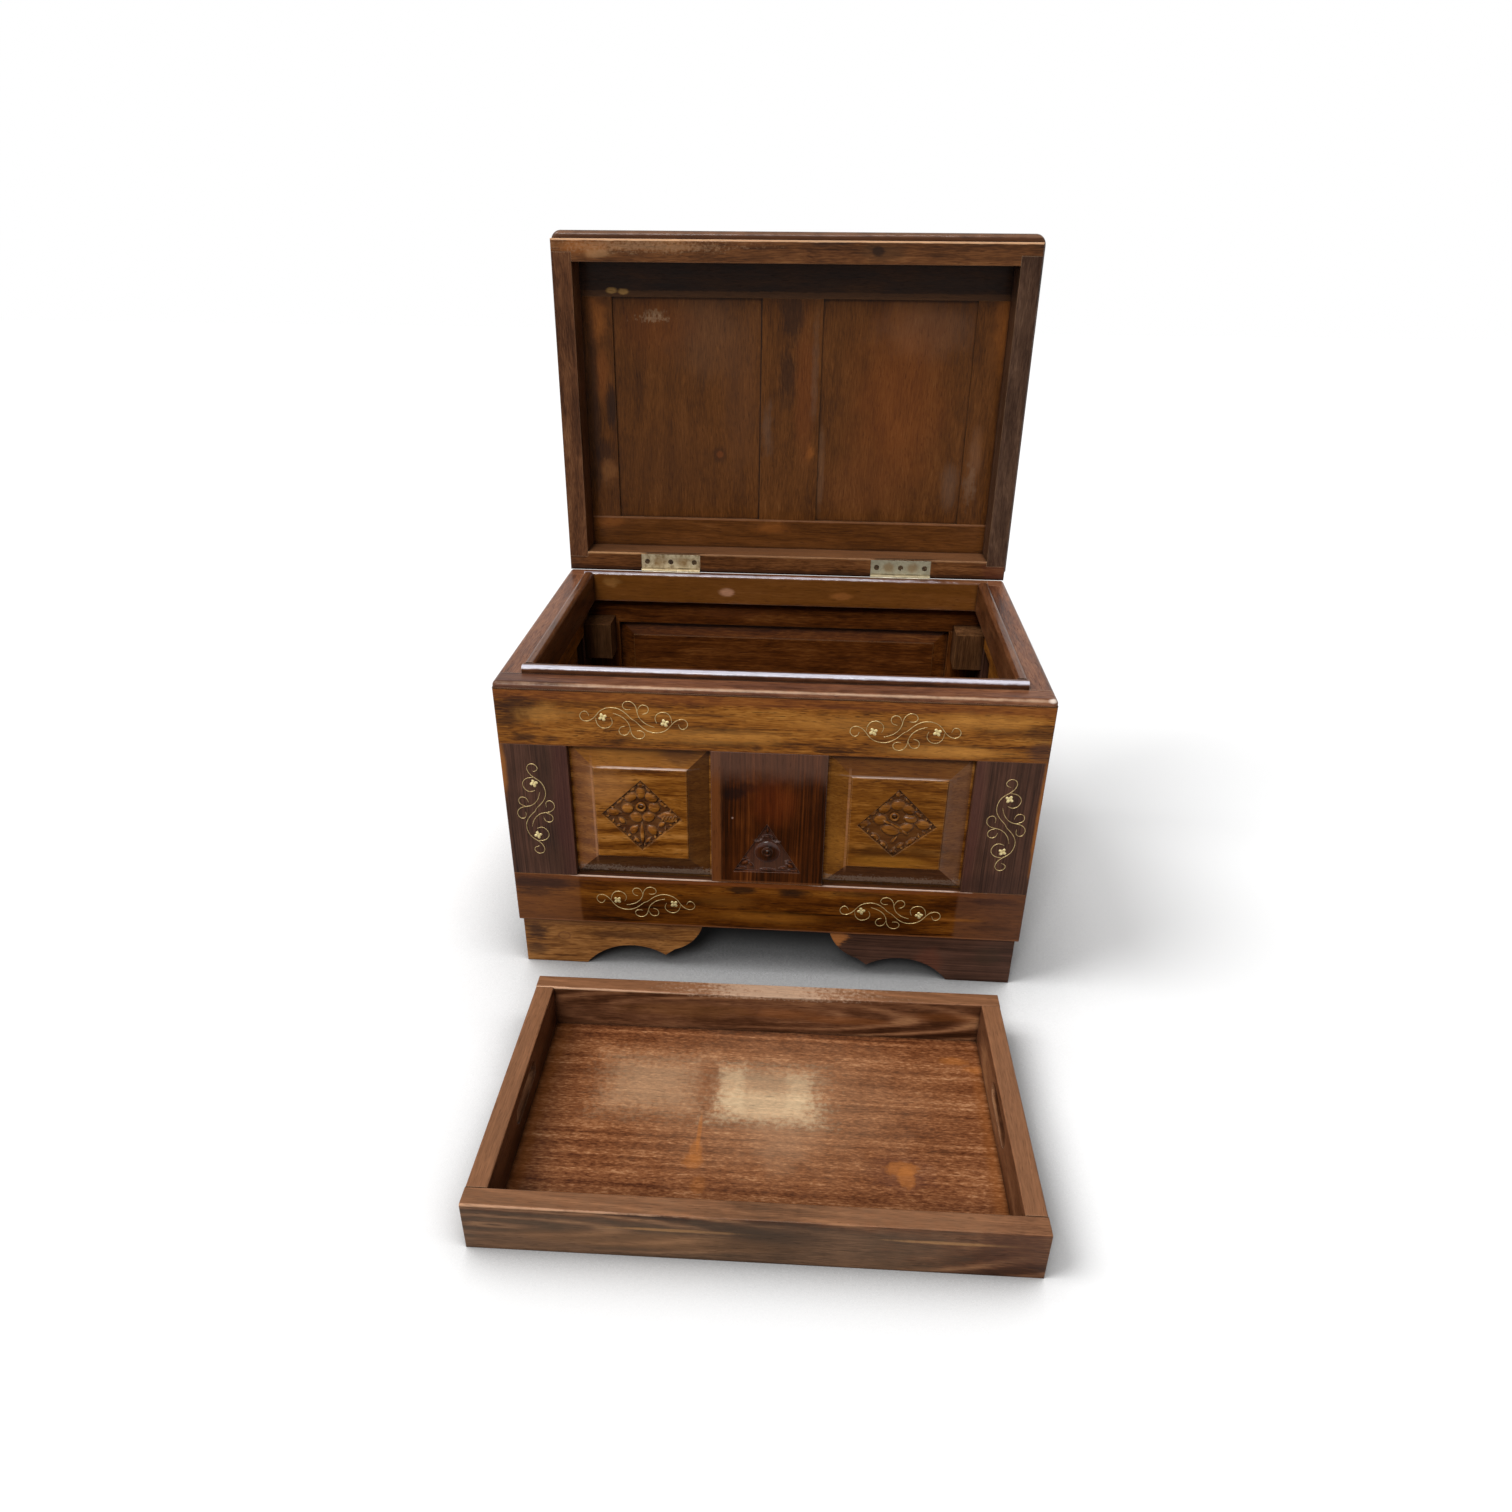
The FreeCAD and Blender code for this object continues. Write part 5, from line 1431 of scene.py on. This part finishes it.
        # The pale tints here are those of a painted reflection on the tray's floor.
        bright, haze, orange = rgb(240, 214, 172), rgb(186, 146, 112), rgb(172, 106, 52)
        halo, painted_reflection_dark = rgb(92, 54, 40), rgb(120, 74, 46)
        floor = (
            # Painted reflection: soft pale blobs, a brighter U within the right one, and a dark strip between
            # them.
            ((-103.4, -224.5, 4), (42, 34, ALL), rgb(206, 170, 132), 0.36, 1.3, 0.8, 200, True),
            ((20, -240, 4), (110, 75, ALL), haze, 0.25, 1.6, 0.5),
            ((28.7, -284.6, 4), (30, 30, ALL), haze, 0.25, 1.4, 0.5),
            ((12.8, -231, 4), (46, 34, ALL), bright, 0.20, 1.0, 0.7, 200, True),
            ((12.8, -247, 4), (45, 18, ALL), bright, 0.28, 0.9, 0.7, 200, True),
            ((-23, -224, 4), (11, 26, ALL), bright, 0.24, 1.0, 0.7, 200, True),
            ((44, -226, 4), (11, 22, ALL), bright, 0.22, 1.0, 0.7, 200, True),
            ((-46.9, -224.5, 4), (8, 36, ALL), painted_reflection_dark, 0.45, 0.9, 0.5, 90, True),
            ((-49, -285, 4), (2, 22, ALL), orange, 0.5, 0.6, 0.4, 200),
            ((-50, -308, 4), (6, 14, ALL), orange, 0.42, 0.5, 0.5, 160),
            ((-51, -320, 4), (10, 8, ALL), orange, 0.42, 0.5, 0.5, 160),
            ((-44, -348, 4), (6, 10, ALL), orange, 0.3, 0.8, 0.8, 160),
            ((139.4, -319.2, 4), (26, 19, ALL), halo, 0.5, 1.2, 0.6, 120),
            ((139.4, -315, 4), (15, 8, ALL), orange, 0.5, 0.4, 0.5, 160),
            ((143, -325, 4), (8, 12, ALL), orange, 0.5, 0.4, 0.5, 160),
            ((200, -170, 4), (14, 5, ALL), orange, 0.5, 1.0, 0.6, 160),
            ((225, -181, 4), (14, 5, ALL), orange, 0.5, 1.0, 0.6, 160),
            ((-215, -270, 4), (12, 110, ALL), rgb(132, 76, 32), 0.5, 1.0, 0.8, 60, True),
            ((228, -290, 4), (10, 100, ALL), rgb(132, 76, 32), 0.4, 1.0, 0.8, 60, True),
        )
        tip, warm = rgb(176, 130, 84), rgb(138, 82, 40)
        top = ((0, 52.5), (ALL, 1.1), rgb(142, 98, 68), 0.65, 0.3, 0.1, 60, True)
        front = (
            top,
            ((-50, 20), (220, 28), rgb(112, 92, 72), 0.4, 0.6, 0.3, 60, True),
            ((-70, 20), (110, 10), rgb(140, 98, 64), 0.4, 0.8, 0.3),
            ((-52.2, 34.4), (50, 1.6), tip, 0.6, 0.8),
            ((175.6, 36.7), (50, 1.6), tip, 0.6, 0.8),
            ((20, 30), (50, 30), rgb(54, 38, 26), 0.5, 1.0, 0.6, 50),
            ((225, 30), (30, 20), rgb(70, 40, 26), 0.6, 1.0, 0.6, 50),
            ((0, -423.1, 51.5), (ALL, 2, 1.2), rgb(196, 150, 116), 0.7, 0.7, 0.6, 60, True),
        )
        back = (
            top,
            ((26.8, 29.3), (36, 6), warm, 0.35, 1.3, 0.8, 50),
            ((90, 24), (45, 5), warm, 0.35, 0.9, 0.4, 50),
            ((192.4, 34), (32, 5), warm, 0.3, 1.3, 0.8, 50),
            ((-80, 29), (60, 9), rgb(124, 82, 46), 0.4, 1.2, 0.8, 50),
            ((14, 52), (65, 3), rgb(210, 180, 152), 0.5, 1.4, 1.6, 300),
            ((0, -143.1, 51.5), (ALL, 2, 1.4), rgb(206, 164, 132), 0.7, 0.7, 0.6, 60, True),
        )
        side = (top,)
        hearts = {
            "tray_front_board": ((-0.4411, 0.0300), 0.09), "tray_back_board": ((-0.1402, 0.0293), 0.11),
        }
        for number, (node, wood, grain, marks) in enumerate((
            ("tray_front_board", TRAY, Grain.ACROSS, front), ("tray_back_board", TRAY, Grain.ACROSS, back),
            ("tray_left_board", TRAY, Grain.DEEP, side), ("tray_right_board", TRAY, Grain.DEEP, side),
            ("tray_bottom_board", TRAY_FLOOR, Grain.ACROSS, floor),
        )):
            heart, drift = hearts.get(node, ((0.05, 0.03), 0.02))
            self._cut(node, wood, grain, 60.3 + number, marks, heart=heart, drift=drift)


@dataclass
class Hinges:
    """The two butt hinges, with a slot cut in the head of every screw."""

    middle: float = 0.148
    slot_length: float = 0.0084
    slot_width: float = 0.0009
    slot_depth: float = 0.0008
    pitch: float = 0.0305
    turns: tuple = (20, -35, 70, 10, 55, -15)

    def dress(self) -> None:
        """Give the leaves and pins their metal: the left hinge is yellower, the right one greyer."""
        stain = rgb(126, 92, 44)
        marks = [((self.middle / MM, 360), (60, ALL), rgb(150, 150, 132), 0.6, 0.2, 0.1, 60, True)]
        for x in (-163.3, -132.8, 132.7, 163.2):
            marks.append(((x, 362), (7, 6), stain, 0.6, 0.9, 0.5, 160))
        marks.append(((0, 352), (ALL, 2), rgb(120, 104, 72), 0.7, 0.6, 0.4, 160, True))
        # Painted highlight along the knuckles.
        marks.append(((0, 349), (ALL, 1.6), rgb(238, 234, 222), 0.7, 0.5, 0.4, 160, True))
        leaf = LEAF.material(marks)
        for node in ("hinge_chest_leaves", "hinge_lid_leaves", "hinge_pins"):
            dress(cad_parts[node], leaf)

    def build(self) -> None:
        """Cut the screws' slots."""
        screw = SCREW.material()
        lid = Bench.copy_of_node("lid_hinge_screws", "slotted_lid_screws")
        chest = Bench.copy_of_node("chest_hinge_screws", "slotted_chest_screws")
        lid_face = min(v.co.y for v in lid.data.vertices)
        chest_top = max(v.co.z for v in chest.data.vertices)
        row_up, row_back = self._middle(lid, "z"), self._middle(chest, "y")
        for number, turn in enumerate(self.turns):
            x = (-self.middle if number < 3 else self.middle) + (number % 3 - 1) * self.pitch
            Bench.carve(lid, self._slot((x, lid_face, row_up), "Y", turn))
            Bench.carve(chest, self._slot((x, row_back, chest_top), "Z", turn))
        for piece, body, node in ((lid, "lid", "lid_hinge_screws"), (chest, "chest", "chest_hinge_screws")):
            dress(piece, screw)
            hand_over(piece, body, "hinge_metal", node)

    @staticmethod
    def _middle(screws: bpy.types.Object, axis: str) -> float:
        """The middle of a row of screws along one axis."""
        places = [getattr(vertex.co, axis) for vertex in screws.data.vertices]
        return (min(places) + max(places)) / 2

    def _slot(self, place: Sequence[float], axis: str, turn: float) -> bpy.types.Object:
        """A slot's cutter, a thin block turned about the screw's axis.

        Args:
            place: the middle of the screw's head.
            axis: the screw's axis.
            turn: the slot's turn in degrees.

        Returns:
            The cutter.
        """
        made = Bench.start(bpy.ops.mesh.primitive_cube_add, "slot", size=1, location=place)
        deep = 2 * self.slot_depth
        thin = (deep, self.slot_width) if axis == "Y" else (self.slot_width, deep)
        made.scale = (self.slot_length, *thin)
        made.rotation_euler["XYZ".index(axis)] = math.radians(turn)
        return Bench.settle(made)


@dataclass
class Studio:
    """The floor, the lights and the camera. The camera's place comes from the photograph's own corners."""

    yaw: float = -0.0676
    pitch: float = -0.5204
    roll: float = 0.0068
    place: tuple = (0.0378, -0.999875, 0.7658)
    focal: float = 1060.97
    centre: Spot = (742.04, 811.47)
    side: float = 1512.0
    sky_level: float = 0.15
    floor_glow: float = 0.03

    # Each lamp's name, its bearing, height and spread in degrees, and its strength.
    LAMPS = (("key", -12, 44, 22, 1.95), ("side", -78, 52, 30, 1.95), ("spark", 8, 60, 5, 0.25))

    def floor(self) -> None:
        """A plain pale floor that turns white towards the camera but keeps its shadows, and is darkened near
        the chest and tray as painted contact shade.
        """
        ground = Bench.start(bpy.ops.mesh.primitive_plane_add, "floor", size=14, location=(0, 0, 0))
        shader = Shader("floor")
        path = {name: shader.node("ShaderNodeLightPath", out=name)
                for name in ("Is Camera Ray", "Is Glossy Ray", "Is Transmission Ray")}
        seen = (path["Is Camera Ray"] + path["Is Glossy Ray"] + path["Is Transmission Ray"]).held()
        # Painted shade: the floor's colour darkens where ambient occlusion finds it hemmed in, under and
        # beside the chest and tray.
        open_share = shader.node("ShaderNodeAmbientOcclusion", {"samples": 8}, {"Distance": 0.2}, out="AO")
        shade = shader.smooth(open_share, 0.15, 0.97) ** 1.5 * 0.9 + 0.1
        pale = shader.mix(shade, (0.0, 0.0, 0.0, 1), (0.93, 0.93, 0.93, 1))
        colour = shader.mix(seen, (0.3, 0.3, 0.3, 1), pale)
        paint = shader.node("ShaderNodeBsdfDiffuse", wires={"Color": colour})
        glow = shader.node("ShaderNodeEmission", wires={
            "Color": (1, 1, 1, 1), "Strength": seen * shade * self.floor_glow,
        })
        both = shader.node("ShaderNodeAddShader", wires={0: paint, 1: glow})
        dress(ground, shader.finish(both))

    def sky(self) -> None:
        """An even pale light from all round, white where it is seen."""
        world = bpy.data.worlds.new("studio")
        bpy.context.scene.world = world
        world.use_nodes = True
        tree = world.node_tree
        tree.nodes.clear()
        path = tree.nodes.new("ShaderNodeLightPath")
        seen = path.outputs["Is Camera Ray"]
        for name in ("Is Glossy Ray", "Is Transmission Ray"):
            most = tree.nodes.new("ShaderNodeMath")
            most.operation = "MAXIMUM"
            tree.links.new(seen, most.inputs[0])
            tree.links.new(path.outputs[name], most.inputs[1])
            seen = most.outputs[0]
        level = tree.nodes.new("ShaderNodeMapRange")
        level.inputs["To Min"].default_value = self.sky_level
        level.inputs["To Max"].default_value = 1.0
        tree.links.new(seen, level.inputs["Value"])
        back = tree.nodes.new("ShaderNodeBackground")
        back.inputs["Color"].default_value = (1, 1, 1, 1)
        tree.links.new(level.outputs[0], back.inputs["Strength"])
        out = tree.nodes.new("ShaderNodeOutputWorld")
        tree.links.new(back.outputs[0], out.inputs["Surface"])

    @staticmethod
    def lamp(name: str, bearing: float, height: float, spread: float, power: float) -> None:
        """A broad far light.

        Args:
            name: its name.
            bearing: where it comes from, in degrees from straight ahead of the chest, left being negative.
            height: how high it stands, in degrees.
            spread: how broad it is, in degrees.
            power: its strength.
        """
        light = bpy.data.lights.new(name, "SUN")
        light.angle = math.radians(spread)
        light.energy = power
        made = bpy.data.objects.new(name, light)
        bpy.context.scene.collection.objects.link(made)
        turn, rise = math.radians(bearing), math.radians(height)
        source = Vector((math.sin(turn) * math.cos(rise), -math.cos(turn) * math.cos(rise), math.sin(rise)))
        made.rotation_euler = source.to_track_quat("Z", "Y").to_euler()

    def camera(self) -> None:
        """The camera, from the angles that fit the photograph."""
        forward = Vector((
            math.sin(self.yaw) * math.cos(self.pitch), math.cos(self.yaw) * math.cos(self.pitch),
            math.sin(self.pitch),
        ))
        right = Vector((math.cos(self.yaw), -math.sin(self.yaw), 0))
        up = right.cross(forward)
        cosine, sine = math.cos(self.roll), math.sin(self.roll)
        right, up = cosine * right + sine * up, cosine * up - sine * right
        data = bpy.data.cameras.new("camera")
        made = bpy.data.objects.new("camera", data)
        bpy.context.scene.collection.objects.link(made)
        turn = Matrix((right, up, -forward)).transposed()
        made.matrix_world = Matrix.Translation(Vector(self.place)) @ turn.to_4x4()
        data.sensor_width = 36
        data.lens = self.focal * data.sensor_width / self.side
        data.shift_x = (self.side / 2 - self.centre[0]) / self.side
        data.shift_y = (self.centre[1] - self.side / 2) / self.side
        data.clip_start = 0.01
        bpy.context.scene.camera = made

    def build(self) -> None:
        """Set the whole studio up."""
        self.floor()
        self.sky()
        for lamp in self.LAMPS:
            self.lamp(*lamp)
        self.camera()
        bpy.context.scene.view_settings.view_transform = "Standard"


def main() -> None:
    """Build and dress every piece, then the studio."""
    logging.basicConfig(level=logging.INFO, format="%(name)s: %(message)s")
    FrontPanels().build()
    MiddleBoard().build()
    WireInlay().build()
    Boards().dress()
    Hinges().dress()
    Hinges().build()
    Studio().build()


if __name__ == "__main__":
    main()
